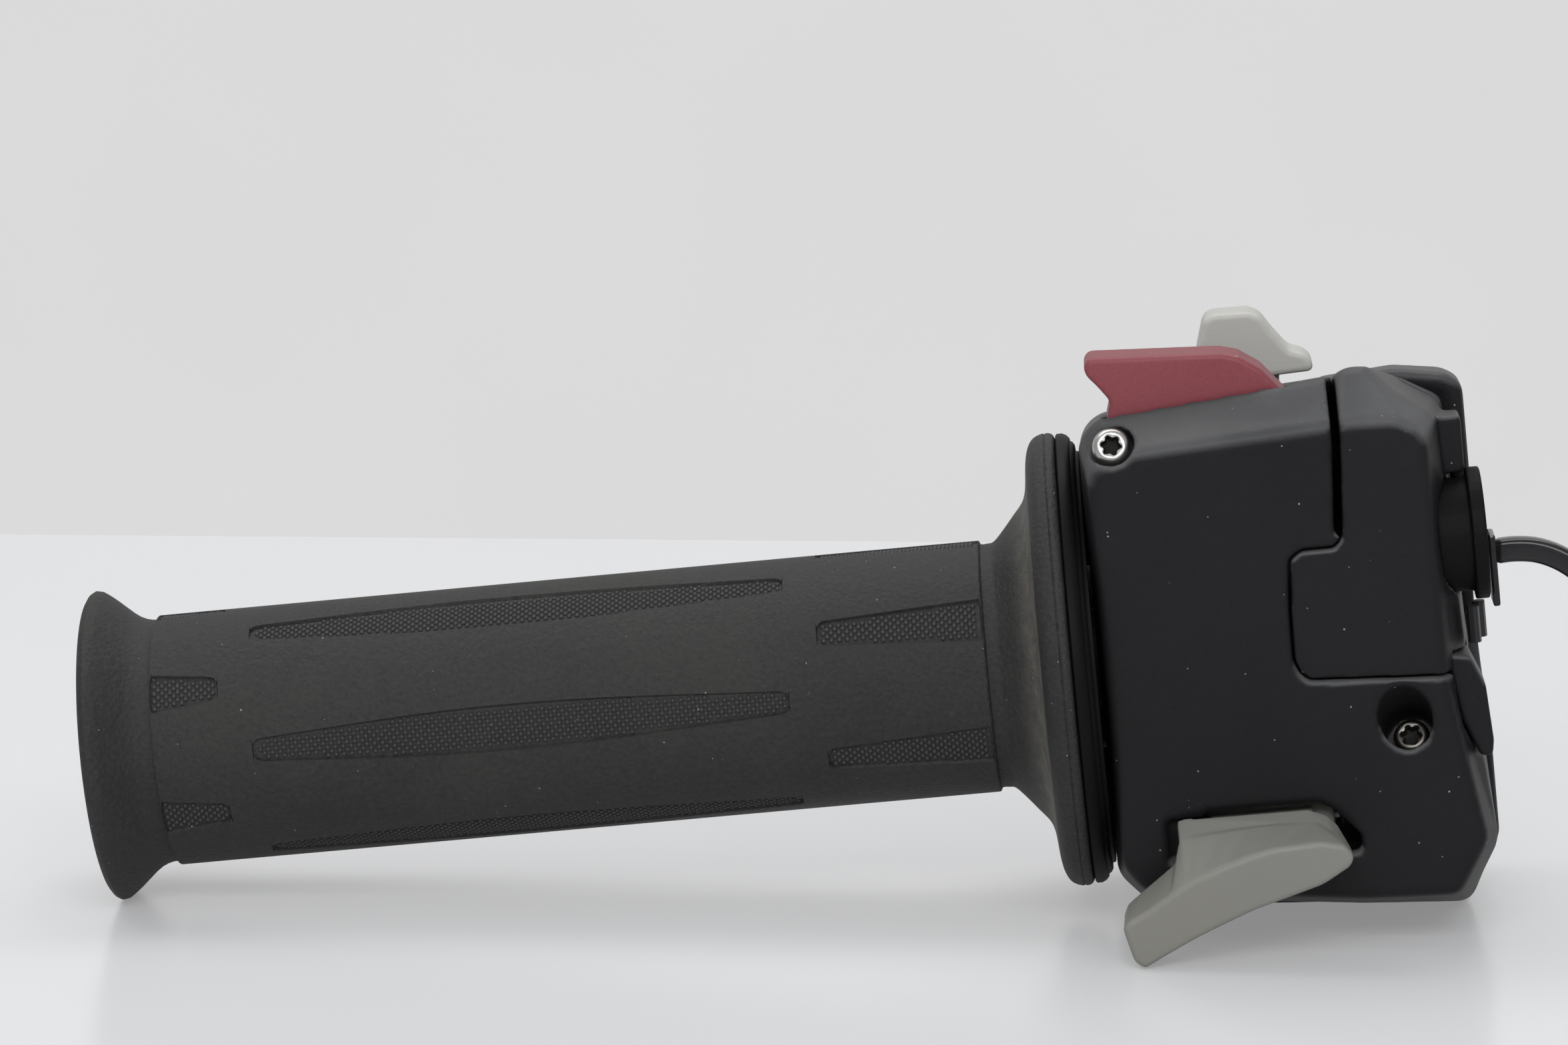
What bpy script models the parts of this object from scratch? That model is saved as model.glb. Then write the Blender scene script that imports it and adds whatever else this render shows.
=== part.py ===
"""Throttle grip of a motorcycle with its switch housing.

The frame: +X runs along the handlebar towards the middle of the bike, +Z is up and -Y
is the side with the screws. The origin is on the bar's axis, at the outboard face of the
switch housing. Sizes are in millimetres until they reach Blender, which works in metres.
"""
import math

import bmesh
import bpy
from mathutils import Matrix, Vector

MM = 0.001

# Clearances
GAP = 0.3
PIN_GAP = 0.15
WELD = 0.002

# Handlebar and twist grip
BAR_RADIUS = 11.0
BAR_GAP = 0.25
TUBE_WALL = 1.75
GRIP_LENGTH = 144.0
GRIP_RADIUS = 18.0
NECK_DEPTH = 0.6
RIM_RADIUS = 22.3
FLANGE_RADIUS = 32.5
FLANGE_LENGTH = 13.9
FLANGE_LIP = 2.4
RING_LENGTH = 3.2
RING_RUN_GAP = 0.8
TURN_STEPS = 48

# Switch housing
HOUSING_LENGTH = 54.4
HOUSING_FRONT = 26.0
HOUSING_SHOULDER = 18.5
HOUSING_REAR = 30.5
HOUSING_TOP = 41.2
HOUSING_BOTTOM = 41.6
PARTING = -4.0
WALL = 2.4
EDGE_ROUND = 1.1

# Cable drum and cable way
DRUM_WIDTH = 8.0
DRUM_RISE = 3.6
GROOVE_DEPTH = 2.2
GUIDE_RADIUS = 2.0
GUIDE_WALL = 0.8
GUIDE_BEND = 4.0
OUTLET_RADIUS = 8.0
OUTLET_HEIGHT = 15.6
OUTLET_FLANGE_RADIUS = 9.25
OUTLET_FLANGE = 2.0
OUTLET_STAND = 0.8

# Switches
PIVOT_RADIUS = 1.25
HUB_RADIUS = 2.7
STEM_INSET = 0.5
LUG_WIDTH = 3.2
SPRING_WIDTH = 3.6
SPRING_WIRE = 0.35
SPRING_TURNS = 3.5

# Tie
TIE_RADIUS = 1.75

# Screws
SCREW_RADIUS = 1.5
BOSS_WALL = {"upper": 0.9, "lower": 2.0}
DRIVE_RADIUS = 1.35
DRIVE_DEPTH = 1.4

# Places that several pieces share
BORE = BAR_RADIUS + BAR_GAP
TUBE_RADIUS = BORE + TUBE_WALL
DRUM_RADIUS = TUBE_RADIUS + DRUM_RISE
GROOVE_RADIUS = DRUM_RADIUS - GROOVE_DEPTH
CLAMP_WIDTH = 3.4
CLAMP_WALL = 2.6
INNER_END = HOUSING_LENGTH - WALL - 3.9
DRUM_END = INNER_END - CLAMP_WIDTH - 3 * GAP
DRUM_START = DRUM_END - DRUM_WIDTH
DRUM_MIDDLE = (DRUM_START + DRUM_END) / 2
CABLE_DEPTH = -GROOVE_RADIUS - 0.4

for stale in list(bpy.data.objects):
    bpy.data.objects.remove(stale, do_unlink=True)

parts = bpy.data.collections.new("throttle_grip")
cutters = bpy.data.collections.new("cutters")
bpy.context.scene.collection.children.link(parts)
bpy.context.scene.collection.children.link(cutters)


# ---------------------------------------------------------------- modelling helpers

def material(name, colour, roughness, metallic=0.0):
    made = bpy.data.materials.new(name)
    made.use_nodes = True
    shader = made.node_tree.nodes["Principled BSDF"]
    shader.inputs["Base Color"].default_value = (*colour, 1.0)
    shader.inputs["Roughness"].default_value = roughness
    shader.inputs["Metallic"].default_value = metallic
    return made


def link(name, mesh, collection=parts):
    item = bpy.data.objects.new(name, mesh)
    collection.objects.link(item)
    return item


def finish_mesh(form, name):
    """Turn a bmesh given in millimetres into a mesh in metres."""
    bmesh.ops.recalc_face_normals(form, faces=form.faces)
    bmesh.ops.scale(form, vec=(MM, MM, MM), verts=form.verts)
    mesh = bpy.data.meshes.new(name)
    form.to_mesh(mesh)
    form.free()
    return mesh


def block(name, low, high, collection=parts):
    """A box between two corners."""
    form = bmesh.new()
    bmesh.ops.create_cube(form, size=1.0)
    size = [h - l for l, h in zip(low, high)]
    middle = [(l + h) / 2 for l, h in zip(low, high)]
    bmesh.ops.scale(form, vec=size, verts=form.verts)
    bmesh.ops.translate(form, vec=middle, verts=form.verts)
    return link(name, finish_mesh(form, name), collection)


def rod(name, start, end, radius, collection=parts, sides=24):
    """A cylinder from one point to another."""
    form = bmesh.new()
    run = Vector(end) - Vector(start)
    bmesh.ops.create_cone(form, cap_ends=True, segments=sides, radius1=radius, radius2=radius,
                          depth=run.length)
    turn = run.to_track_quat("Z", "Y").to_matrix().to_4x4()
    place = Matrix.Translation((Vector(start) + Vector(end)) / 2) @ turn
    bmesh.ops.transform(form, matrix=place, verts=form.verts)
    return link(name, finish_mesh(form, name), collection)


def plate(name, outline, low, high, axis="Y", collection=parts):
    """A flat outline given as (x, z) or (y, z), as thick as from low to high along the axis."""
    form = bmesh.new()
    if axis == "Y":
        corners = [form.verts.new((a, low, b)) for a, b in outline]
        run = Vector((0, high - low, 0))
    else:
        corners = [form.verts.new((low, a, b)) for a, b in outline]
        run = Vector((high - low, 0, 0))
    face = form.faces.new(corners)
    made = bmesh.ops.extrude_face_region(form, geom=[face])
    moved = [v for v in made["geom"] if isinstance(v, bmesh.types.BMVert)]
    bmesh.ops.translate(form, vec=run, verts=moved)
    return link(name, finish_mesh(form, name), collection)


def loft(name, sections, collection=parts):
    """A skin over outlines of like count, each given as (y, [(x, z), ...]), closed at both ends."""
    form = bmesh.new()
    rings = []
    for depth, outline in sections:
        corners = [form.verts.new((x, depth, z)) for x, z in outline]
        rings.append([form.edges.new((a, b)) for a, b in zip(corners, corners[1:] + corners[:1])])
    for near, far in zip(rings, rings[1:]):
        bmesh.ops.bridge_loops(form, edges=near + far)
    bmesh.ops.holes_fill(form, edges=rings[0] + rings[-1], sides=0)
    return link(name, finish_mesh(form, name), collection)


def turned(name, profile, collection=parts, steps=TURN_STEPS):
    """A closed profile of (distance along, radius) turned about the X axis."""
    form = bmesh.new()
    corners = [form.verts.new((radius * MM, 0, along * MM)) for along, radius in profile]
    for a, b in zip(corners, corners[1:] + corners[:1]):
        form.edges.new((a, b))
    mesh = bpy.data.meshes.new(name)
    form.to_mesh(mesh)
    form.free()
    item = link(name, mesh, collection)
    item.rotation_euler = (0, math.pi / 2, 0)
    spin = item.modifiers.new("turn", "SCREW")
    spin.steps = steps
    spin.render_steps = steps
    spin.use_merge_vertices = True
    spin.merge_threshold = 0.00001
    return item


def make_solid(item):
    """Replace an object's modifiers and place by the mesh that they give."""
    bpy.context.view_layer.update()
    seen = item.evaluated_get(bpy.context.evaluated_depsgraph_get())
    mesh = bpy.data.meshes.new_from_object(seen)
    mesh.transform(item.matrix_world)
    form = bmesh.new()
    form.from_mesh(mesh)
    bmesh.ops.remove_doubles(form, verts=form.verts, dist=WELD * MM)
    form.to_mesh(mesh)
    form.free()
    item.modifiers.clear()
    item.matrix_world = Matrix.Identity(4)
    item.data = mesh
    return item


def boolean(item, other, operation="DIFFERENCE"):
    other.hide_render = True
    other.display_type = "WIRE"
    if other.name in parts.objects:
        parts.objects.unlink(other)
        cutters.objects.link(other)
    step = item.modifiers.new(other.name, "BOOLEAN")
    step.object = other
    step.operation = operation
    step.solver = "EXACT"
    return item


def round_edges(item, width, segments=2, angle=28.0):
    step = item.modifiers.new("edges", "BEVEL")
    step.width = width * MM
    step.segments = segments
    step.limit_method = "ANGLE"
    step.angle_limit = math.radians(angle)
    return item


def dress(item, finish):
    item.data.materials.clear()
    item.data.materials.append(finish)
    for face in item.data.polygons:
        face.use_smooth = True
    item.data.set_sharp_from_angle(angle=math.radians(32))
    return item


def inset(outline, distance):
    """The outline with every side moved inwards by the distance, or outwards below zero."""
    area = sum(a[0] * b[1] - b[0] * a[1] for a, b in zip(outline, outline[1:] + outline[:1]))
    side = 1.0 if area > 0 else -1.0
    moved = []
    for before, here, after in zip(outline[-1:] + outline[:-1], outline, outline[1:] + outline[:1]):
        inward = (Vector(here) - Vector(before)).normalized().orthogonal() * side
        outward = (Vector(after) - Vector(here)).normalized().orthogonal() * side
        bisector = (inward + outward).normalized()
        step = distance / max(bisector.dot(inward), 0.35)
        moved.append(tuple(Vector(here) + bisector * step))
    return moved


def shrunk(outline, margin):
    """The outline drawn smaller about its middle, so that its box loses the margin all round."""
    spans = [(min(side), max(side)) for side in zip(*outline)]
    middle = [(low + high) / 2 for low, high in spans]
    share = [1.0 - 2 * margin / (high - low) for low, high in spans]
    return [tuple(m + (value - m) * k for value, m, k in zip(point, middle, share)) for point in outline]


def helix(name, start, end, radius, wire, turns):
    """A coil of wire about a line along X."""
    points_a_turn = 12
    count = int(points_a_turn * turns) + 1
    shape = bpy.data.curves.new(name, "CURVE")
    shape.dimensions = "3D"
    shape.bevel_depth = wire * MM
    shape.bevel_resolution = 1
    shape.use_fill_caps = True
    line = shape.splines.new("POLY")
    line.points.add(count - 1)
    for index, point in enumerate(line.points):
        part = index / (count - 1)
        angle = 2 * math.pi * turns * part
        along = start[0] + (end[0] - start[0]) * part
        point.co = (along * MM, (start[1] + radius * math.cos(angle)) * MM,
                    (start[2] + radius * math.sin(angle)) * MM, 1.0)
    return link(name, shape)


# ---------------------------------------------------------------- finishes

rubber = material("grip_rubber", (0.045, 0.045, 0.047), 0.75)
casing = material("casing_plastic", (0.045, 0.047, 0.052), 0.6)
inner_plastic = material("inner_plastic", (0.03, 0.03, 0.03), 0.55)
red_plastic = material("red_plastic", (0.25, 0.02, 0.035), 0.5)
grey_plastic = material("grey_plastic", (0.27, 0.27, 0.24), 0.5)
steel = material("steel", (0.6, 0.6, 0.6), 0.3, 1.0)
wire_cover = material("wire_cover", (0.02, 0.02, 0.02), 0.4)


# ---------------------------------------------------------------- twist grip

# The rubber sleeve: a flared rim, a straight handle and the stop flange at the housing.
flange_end = -RING_RUN_GAP
flange_start = flange_end - FLANGE_LENGTH
flange_rise = FLANGE_RADIUS - GRIP_RADIUS
recess_floor = flange_end - RING_LENGTH - GAP
recess_radius = FLANGE_RADIUS - FLANGE_LIP
rim_rise = RIM_RADIUS - GRIP_RADIUS
neck = GRIP_RADIUS - NECK_DEPTH
sleeve_bore = TUBE_RADIUS + GAP
sleeve = turned("grip_rubber", [
    (recess_floor, sleeve_bore),
    (recess_floor, recess_radius),
    (flange_end, recess_radius),
    (flange_end, FLANGE_RADIUS - 1.9),
    (flange_end - 0.5, FLANGE_RADIUS - 0.9),
    (flange_end - 1.5, FLANGE_RADIUS - 0.15),
    (flange_end - 2.8, FLANGE_RADIUS),
    (flange_end - 4.2, FLANGE_RADIUS - 0.4),
    (flange_end - 5.3, FLANGE_RADIUS - 1.4),
    (flange_end - 6.1, FLANGE_RADIUS - 3.2),
    (flange_end - 6.6, FLANGE_RADIUS - 5.6),
    (flange_end - 6.9, GRIP_RADIUS + 0.42 * flange_rise),
    (flange_end - 8.0, GRIP_RADIUS + 0.22 * flange_rise),
    (flange_end - 10.4, GRIP_RADIUS + 0.08 * flange_rise),
    (flange_start + 0.6, GRIP_RADIUS),
    (flange_start, neck),
    (flange_start - 0.7, neck),
    (flange_start - 0.9, GRIP_RADIUS),
    (-GRIP_LENGTH + 10.0, GRIP_RADIUS),
    (-GRIP_LENGTH + 9.7, neck),
    (-GRIP_LENGTH + 8.4, neck + 0.1),
    (-GRIP_LENGTH + 6.6, GRIP_RADIUS + 0.12 * rim_rise),
    (-GRIP_LENGTH + 4.6, GRIP_RADIUS + 0.48 * rim_rise),
    (-GRIP_LENGTH + 2.6, GRIP_RADIUS + 0.87 * rim_rise),
    (-GRIP_LENGTH + 1.4, RIM_RADIUS),
    (-GRIP_LENGTH + 0.5, RIM_RADIUS - 0.2),
    (-GRIP_LENGTH, RIM_RADIUS - 1.0),
    (-GRIP_LENGTH, sleeve_bore - 1.0),
    (-GRIP_LENGTH + 1.5, sleeve_bore - 1.0),
    (-GRIP_LENGTH + 1.5, sleeve_bore),
])
dress(make_solid(sleeve), rubber)

# The moulded tube that turns on the bar and carries the rubber, the ring and the drum.
tube_start = -GRIP_LENGTH + 1.5 + GAP
tube = turned("throttle_tube", [
    (DRUM_END, BORE),
    (DRUM_END, TUBE_RADIUS),
    (tube_start, TUBE_RADIUS),
    (tube_start, BORE),
], steps=36)
dress(make_solid(tube), inner_plastic)

# The hard ring set into the flange's inboard face, which runs in front of the housing.
ring_radius = recess_radius - GAP
ring = turned("flange_ring", [
    (flange_end, TUBE_RADIUS + GAP),
    (flange_end, ring_radius - 5.0),
    (flange_end - 1.0, ring_radius - 4.8),
    (flange_end - 1.1, ring_radius - 2.2),
    (flange_end - 1.9, ring_radius - 2.0),
    (flange_end - 2.0, ring_radius),
    (flange_end - RING_LENGTH, ring_radius),
    (flange_end - RING_LENGTH, TUBE_RADIUS + GAP),
])
dress(make_solid(ring), inner_plastic)

# The drum that winds the throttle cable, with a stop lug on its outboard side.
drum = turned("cable_drum", [
    (DRUM_END, TUBE_RADIUS + GAP),
    (DRUM_END, DRUM_RADIUS),
    (DRUM_END - 1.5, DRUM_RADIUS),
    (DRUM_END - 2.6, GROOVE_RADIUS),
    (DRUM_START + 2.6, GROOVE_RADIUS),
    (DRUM_START + 1.5, DRUM_RADIUS),
    (DRUM_START, DRUM_RADIUS),
    (DRUM_START, TUBE_RADIUS + GAP),
], steps=36)
make_solid(drum)
stop_lug = block("stop_lug", (DRUM_START - 2.4, -2.5, TUBE_RADIUS + 0.6),
                 (DRUM_START + 1.0, 2.5, DRUM_RADIUS - 0.4))
boolean(drum, stop_lug, "UNION")
nipple_pocket = rod("nipple_pocket", (DRUM_MIDDLE, 3.5, -GROOVE_RADIUS - 1.5),
                    (DRUM_MIDDLE, 9.5, -GROOVE_RADIUS - 1.5), 1.6, cutters)
boolean(drum, nipple_pocket)
dress(make_solid(drum), inner_plastic)


# ---------------------------------------------------------------- switch housing

LONG = HOUSING_LENGTH
FACE = [
    (0.9, -24.7), (1.0, 28.2), (2.1, 31.2), (4.6, 32.9), (LONG - 18.2, HOUSING_TOP - 6.8),
    (LONG - 16.8, HOUSING_TOP - 6.75), (LONG - 10.4, HOUSING_TOP - 7.0), (LONG - 7.8, HOUSING_TOP - 8.3),
    (LONG - 6.6, HOUSING_TOP - 11.0), (LONG - 6.7, -3.0), (LONG - 2.8, 16.1 - HOUSING_BOTTOM),
    (LONG - 7.4, 8.6 - HOUSING_BOTTOM), (LONG - 20.3, 9.1 - HOUSING_BOTTOM), (3.6, 12.9 - HOUSING_BOTTOM),
]
SHOULDER = [
    (0.0, -27.6), (0.0, 33.2), (0.8, 35.5), (3.4, 37.4), (LONG - 18.2, HOUSING_TOP - 0.9),
    (LONG - 16.8, HOUSING_TOP), (LONG - 14.2, HOUSING_TOP), (LONG - 10.2, HOUSING_TOP - 3.9),
    (LONG - 4.9, HOUSING_TOP - 7.8), (LONG - 3.2, -3.0), (LONG - 0.9, 14.1 - HOUSING_BOTTOM),
    (LONG - 5.9, 5.6 - HOUSING_BOTTOM), (LONG - 20.1, 6.6 - HOUSING_BOTTOM), (3.4, 10.1 - HOUSING_BOTTOM),
]
SEAM = [
    (0.0, -28.5), (0.0, 31.5), (0.8, 33.6), (3.2, 35.4), (LONG - 18.2, HOUSING_TOP - 3.6),
    (LONG - 16.8, HOUSING_TOP - 2.9), (LONG - 13.0, HOUSING_TOP - 3.3), (LONG - 8.0, HOUSING_TOP - 4.6),
    (LONG - 3.0, HOUSING_TOP - 7.4), (LONG - 2.0, -3.0), (LONG - 0.4, 12.6 - HOUSING_BOTTOM),
    (LONG - 5.2, 3.1 - HOUSING_BOTTOM), (LONG - 20.1, 4.6 - HOUSING_BOTTOM), (3.4, 8.1 - HOUSING_BOTTOM),
]
REAR_SEAM = [
    (0.0, -28.5), (0.0, 31.5), (0.8, 33.6), (3.2, 35.4), (LONG - 16.4, HOUSING_TOP - 3.6),
    (LONG - 9.4, HOUSING_TOP - 3.3), (LONG - 2.4, HOUSING_TOP - 4.5), (LONG, HOUSING_TOP - 6.1),
    (LONG, 11.6 - HOUSING_BOTTOM), (LONG - 4.8, 2.4 - HOUSING_BOTTOM), (18.0, 4.4 - HOUSING_BOTTOM),
    (3.4, 8.1 - HOUSING_BOTTOM),
]
REAR_BELLY = [
    (0.0, -29.5), (0.0, 30.5), (0.8, 32.6), (3.2, 34.3), (LONG - 16.4, HOUSING_TOP - 4.4),
    (LONG - 9.4, HOUSING_TOP - 3.9), (LONG - 2.6, HOUSING_TOP - 4.9), (LONG, HOUSING_TOP - 6.4),
    (LONG, 10.6 - HOUSING_BOTTOM), (LONG - 4.6, -HOUSING_BOTTOM), (18.2, 2.9 - HOUSING_BOTTOM),
    (3.4, 6.1 - HOUSING_BOTTOM),
]
REAR_FLANK = [
    (0.4, -28.5), (0.4, 27.0), (1.1, 29.0), (3.4, 30.9), (LONG - 16.4, HOUSING_TOP - 8.0),
    (LONG - 9.4, HOUSING_TOP - 7.6), (LONG - 2.8, HOUSING_TOP - 8.6), (LONG - 0.4, HOUSING_TOP - 10.4),
    (LONG - 0.4, 11.1 - HOUSING_BOTTOM), (LONG - 4.8, 0.3 - HOUSING_BOTTOM), (18.4, 3.4 - HOUSING_BOTTOM),
    (3.8, 7.1 - HOUSING_BOTTOM),
]
BELLY_DEPTH = 5.0
FLANK_DEPTH = 18.0

# The stepped outline of the cover over the cable way, drawn on the front face.
STEP = [
    (LONG - 18.2, HOUSING_TOP + 6.0), (LONG - 18.4, 31.5), (LONG - 19.2, 18.4), (LONG - 20.4, 17.1),
    (LONG - 25.0, 17.1), (LONG - 26.6, 16.0), (LONG - 27.1, 8.6), (LONG - 27.2, 2.0), (LONG - 26.5, 0.2),
    (LONG - 25.3, -0.8), (LONG + 6.0, -2.6), (LONG + 6.0, HOUSING_TOP + 6.0),
]
COVER_BACK = -8.0

# The long upright part of the gap beside the cover is wide, like a groove.
COVER_GROOVE = [
    (LONG - 19.4, HOUSING_TOP + 5.0), (LONG - 19.5, 31.3), (LONG - 20.3, 18.9), (LONG - 19.0, 18.6),
    (LONG - 18.2, 31.2), (LONG - 18.0, HOUSING_TOP + 5.0),
]


def shell_outside(name, sections):
    return round_edges(loft(name, sections), EDGE_ROUND)


front_form = [(-HOUSING_FRONT, FACE), (-HOUSING_SHOULDER, SHOULDER), (PARTING - GAP / 2, SEAM)]
front_room = [(-HOUSING_FRONT + WALL, FACE), (-HOUSING_SHOULDER + 0.8, SHOULDER), (PARTING + 1, SEAM)]
REAR_TURN = shrunk(REAR_FLANK, 1.6)
REAR_END = shrunk(REAR_FLANK, 4.0)
rear_form = [(PARTING + GAP / 2, REAR_SEAM), (BELLY_DEPTH, REAR_BELLY), (FLANK_DEPTH, REAR_FLANK),
             (HOUSING_REAR - 3.0, REAR_TURN), (HOUSING_REAR, REAR_END)]
rear_room = [(PARTING - 1, REAR_SEAM), (BELLY_DEPTH, REAR_BELLY), (FLANK_DEPTH, REAR_FLANK),
             (HOUSING_REAR - 3.0 - 0.7 * WALL, REAR_TURN), (HOUSING_REAR - WALL, REAR_END)]

# Screws that pull the two shells together, each tilted so that it passes the bar.
UPPER_HEAD = Vector((4.6, -23.3, 34.0))
UPPER_RUN = Vector((0.0, 1.0, -0.40)).normalized()
LOWER_HEAD = Vector((LONG - 12.0, -20.5, -11.0))
LOWER_RUN = Vector((0.12, 0.81, -0.57)).normalized()
SCREW_REACH = 29.0
HEAD_HEIGHT = 2.0
UPPER_HEAD_RADIUS = 2.7
LOWER_HEAD_RADIUS = 2.6
screw_sites = [("upper", UPPER_HEAD, UPPER_RUN, UPPER_HEAD_RADIUS),
               ("lower", LOWER_HEAD, LOWER_RUN, LOWER_HEAD_RADIUS)]

# Pivots of the two sprung paddles: a pin along X in two lugs of its shell.
TURN_PIVOT = (-19.3, -21.5)
TURN_SPAN = (9.4, 38.0)
CANCEL_PIVOT = (7.0, 27.0)
CANCEL_SPAN = (14.6, 36.6)
TURN_SLOT = [
    (TURN_SPAN[0] + LUG_WIDTH + 0.1, -25.8), (TURN_SPAN[0] + LUG_WIDTH + 0.1, -18.4), (28.8, -18.4),
    (30.6, -19.5), (TURN_SPAN[1] - LUG_WIDTH - 0.6, -23.4), (TURN_SPAN[1] - LUG_WIDTH - 0.6, -25.8),
]
TURN_SLOT_DEPTH = 5.3
TURN_POCKET = ((TURN_SPAN[0] - 2.0, -HOUSING_FRONT - 2, -25.2),
               (TURN_SPAN[0] + LUG_WIDTH + 1.0, -HOUSING_FRONT + 0.6 * WALL, -19.0))
CANCEL_SLOT = ((CANCEL_SPAN[0] + LUG_WIDTH - 1.2, 2.6, HOUSING_TOP - 12.0),
               (CANCEL_SPAN[1] - LUG_WIDTH + 1.2, 12.4, HOUSING_TOP + 6.0))

# Rocker of the engine stop: a pin along Y.
STOP_PIVOT = (15.6, 31.2)
STOP_SPAN = (-17.8, -9.2)
STOP_SLOT = ((3.5, STOP_SPAN[0] - 0.5, 33.2), (31.0, STOP_SPAN[1] + 0.5, HOUSING_TOP + 10))


def cut_for_bar(shell):
    """The turning tube enters at the outboard wall and the bar leaves at the inboard wall."""
    tag = shell.name
    boolean(shell, rod(tag + "_tube_hole", (-6, 0, 0), (WALL + 4, 0, 0), TUBE_RADIUS + 0.9, cutters, 48))
    boolean(shell, rod(tag + "_drum_room", (DRUM_START - 3, 0, 0), (INNER_END - 0.1, 0, 0), DRUM_RADIUS + 0.6,
                       cutters, 48))
    boolean(shell, rod(tag + "_bar_hole", (INNER_END - 4, 0, 0), (LONG + 6, 0, 0), BAR_RADIUS + GAP,
                       cutters, 48))


def bosses(shell):
    """Screw bosses, longer than the shell: the room around them decides where they end."""
    made = []
    for tag, head, run, head_radius in screw_sites:
        radius = head_radius + BOSS_WALL[tag]
        made.append(rod("%s_boss_%s" % (shell.name, tag), head - run * 6.0, head + run * (SCREW_REACH + 1.2),
                        radius, cutters))
    tip = LOWER_HEAD + LOWER_RUN * SCREW_REACH
    made.append(block(shell.name + "_boss_rib", (tip.x - 2.4, PARTING - 0.4, -HOUSING_BOTTOM - 4),
                      (tip.x + 0.8, tip.y + 3.0, tip.z - 1.9), cutters))
    return made


def cut_for_screws(shell):
    for tag, head, run, head_radius in screw_sites:
        seat = head + run * HEAD_HEIGHT
        boolean(shell, rod(shell.name + "_well_" + tag, head - run * 16.0, seat + run * GAP,
                           head_radius + 0.5 + (0.6 if tag == "lower" else 0.0), cutters))
        boolean(shell, rod(shell.name + "_hole_" + tag, seat, head + run * (SCREW_REACH + 0.4),
                           SCREW_RADIUS + PIN_GAP, cutters))


def pivot_lugs(shell, pivot, span, up, room_depth):
    """Two lugs that carry a pivot pin, each a block from the pin up or down to the wall."""
    made = []
    for index, start in enumerate((span[0], span[1] - LUG_WIDTH)):
        low = (start, pivot[0] - 3.4, min(pivot[1] - 3.0 * up, pivot[1] + room_depth * up))
        high = (start + LUG_WIDTH, pivot[0] + 7.6, max(pivot[1] - 3.0 * up, pivot[1] + room_depth * up))
        made.append(block("%s_lug_%d" % (shell.name, index), low, high))
    return made


def hollow_out(shell, sections, kept):
    """Empty a shell, leaving the bosses and lugs that stand in its room."""
    room = loft(shell.name + "_room", [(depth, inset(outline, WALL)) for depth, outline in sections], cutters)
    for piece in kept:
        boolean(room, piece)
    boolean(shell, make_solid(room))


# Front shell
front_shell = shell_outside("front_shell", front_form)
hollow_out(front_shell, front_room,
           bosses(front_shell) + pivot_lugs(front_shell, TURN_PIVOT, TURN_SPAN, -1, 18.0))
boolean(front_shell, block("stop_slot", STOP_SLOT[0], STOP_SLOT[1], cutters))
boolean(front_shell, plate("cover_cut", inset(STEP, -GAP), -HOUSING_FRONT - 8, COVER_BACK + GAP, "Y", cutters))
boolean(front_shell, plate("cover_groove", COVER_GROOVE, -HOUSING_FRONT - 8, COVER_BACK - 5.0, "Y", cutters))
cut_for_bar(front_shell)
cut_for_screws(front_shell)
boolean(front_shell, plate("turn_slot", TURN_SLOT, -HOUSING_FRONT - 2, -HOUSING_FRONT + TURN_SLOT_DEPTH, "Y",
                           cutters))
boolean(front_shell, block("turn_pocket", TURN_POCKET[0], TURN_POCKET[1], cutters))
boolean(front_shell, rod("turn_pin_hole", (TURN_SPAN[0] - 1, *TURN_PIVOT), (TURN_SPAN[1] + 1, *TURN_PIVOT),
                         PIVOT_RADIUS + PIN_GAP, cutters))
outlet_hole = rod("outlet_hole", (LONG - 12, CABLE_DEPTH, OUTLET_HEIGHT), (LONG + 8, CABLE_DEPTH, OUTLET_HEIGHT),
                  OUTLET_RADIUS + GAP, cutters, 36)
boolean(front_shell, outlet_hole)

# The wedge that clips the harness to the side of the front shell.
WEDGE = [(LONG - 6.2, 0.2), (LONG - 2.9, -0.3), (LONG - 1.1, -4.7), (LONG - 0.6, -12.5),
         (LONG - 0.9, -14.6), (LONG - 2.6, -14.6), (LONG - 4.8, -9.1), (LONG - 5.6, -4.2)]
WEDGE_SPAN = (-22.5, -13.0)
wedge = plate("harness_clip", WEDGE, *WEDGE_SPAN)
round_edges(wedge, 0.5, 2)
dress(make_solid(wedge), inner_plastic)
clip_pocket = plate("clip_pocket", inset(WEDGE, -GAP), WEDGE_SPAN[0] - GAP, WEDGE_SPAN[1] + GAP, "Y", cutters)
boolean(front_shell, clip_pocket)
dress(make_solid(front_shell), casing)

# Stepped cover over the cable way
cover = shell_outside("cable_cover", front_form)
hollow_out(cover, front_room, [])
boolean(cover, plate("cover_limit", STEP, -HOUSING_FRONT - 8, COVER_BACK, "Y", cutters), "INTERSECT")
boolean(cover, outlet_hole)
boolean(cover, clip_pocket)
boolean(make_solid(cover), block("cover_stop", (LONG - 5.4, -15.6, OUTLET_HEIGHT + OUTLET_RADIUS + 0.8),
                                 (LONG - 1.2, -9.4, HOUSING_TOP - 8.8)), "UNION")
dress(make_solid(cover), casing)

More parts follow.
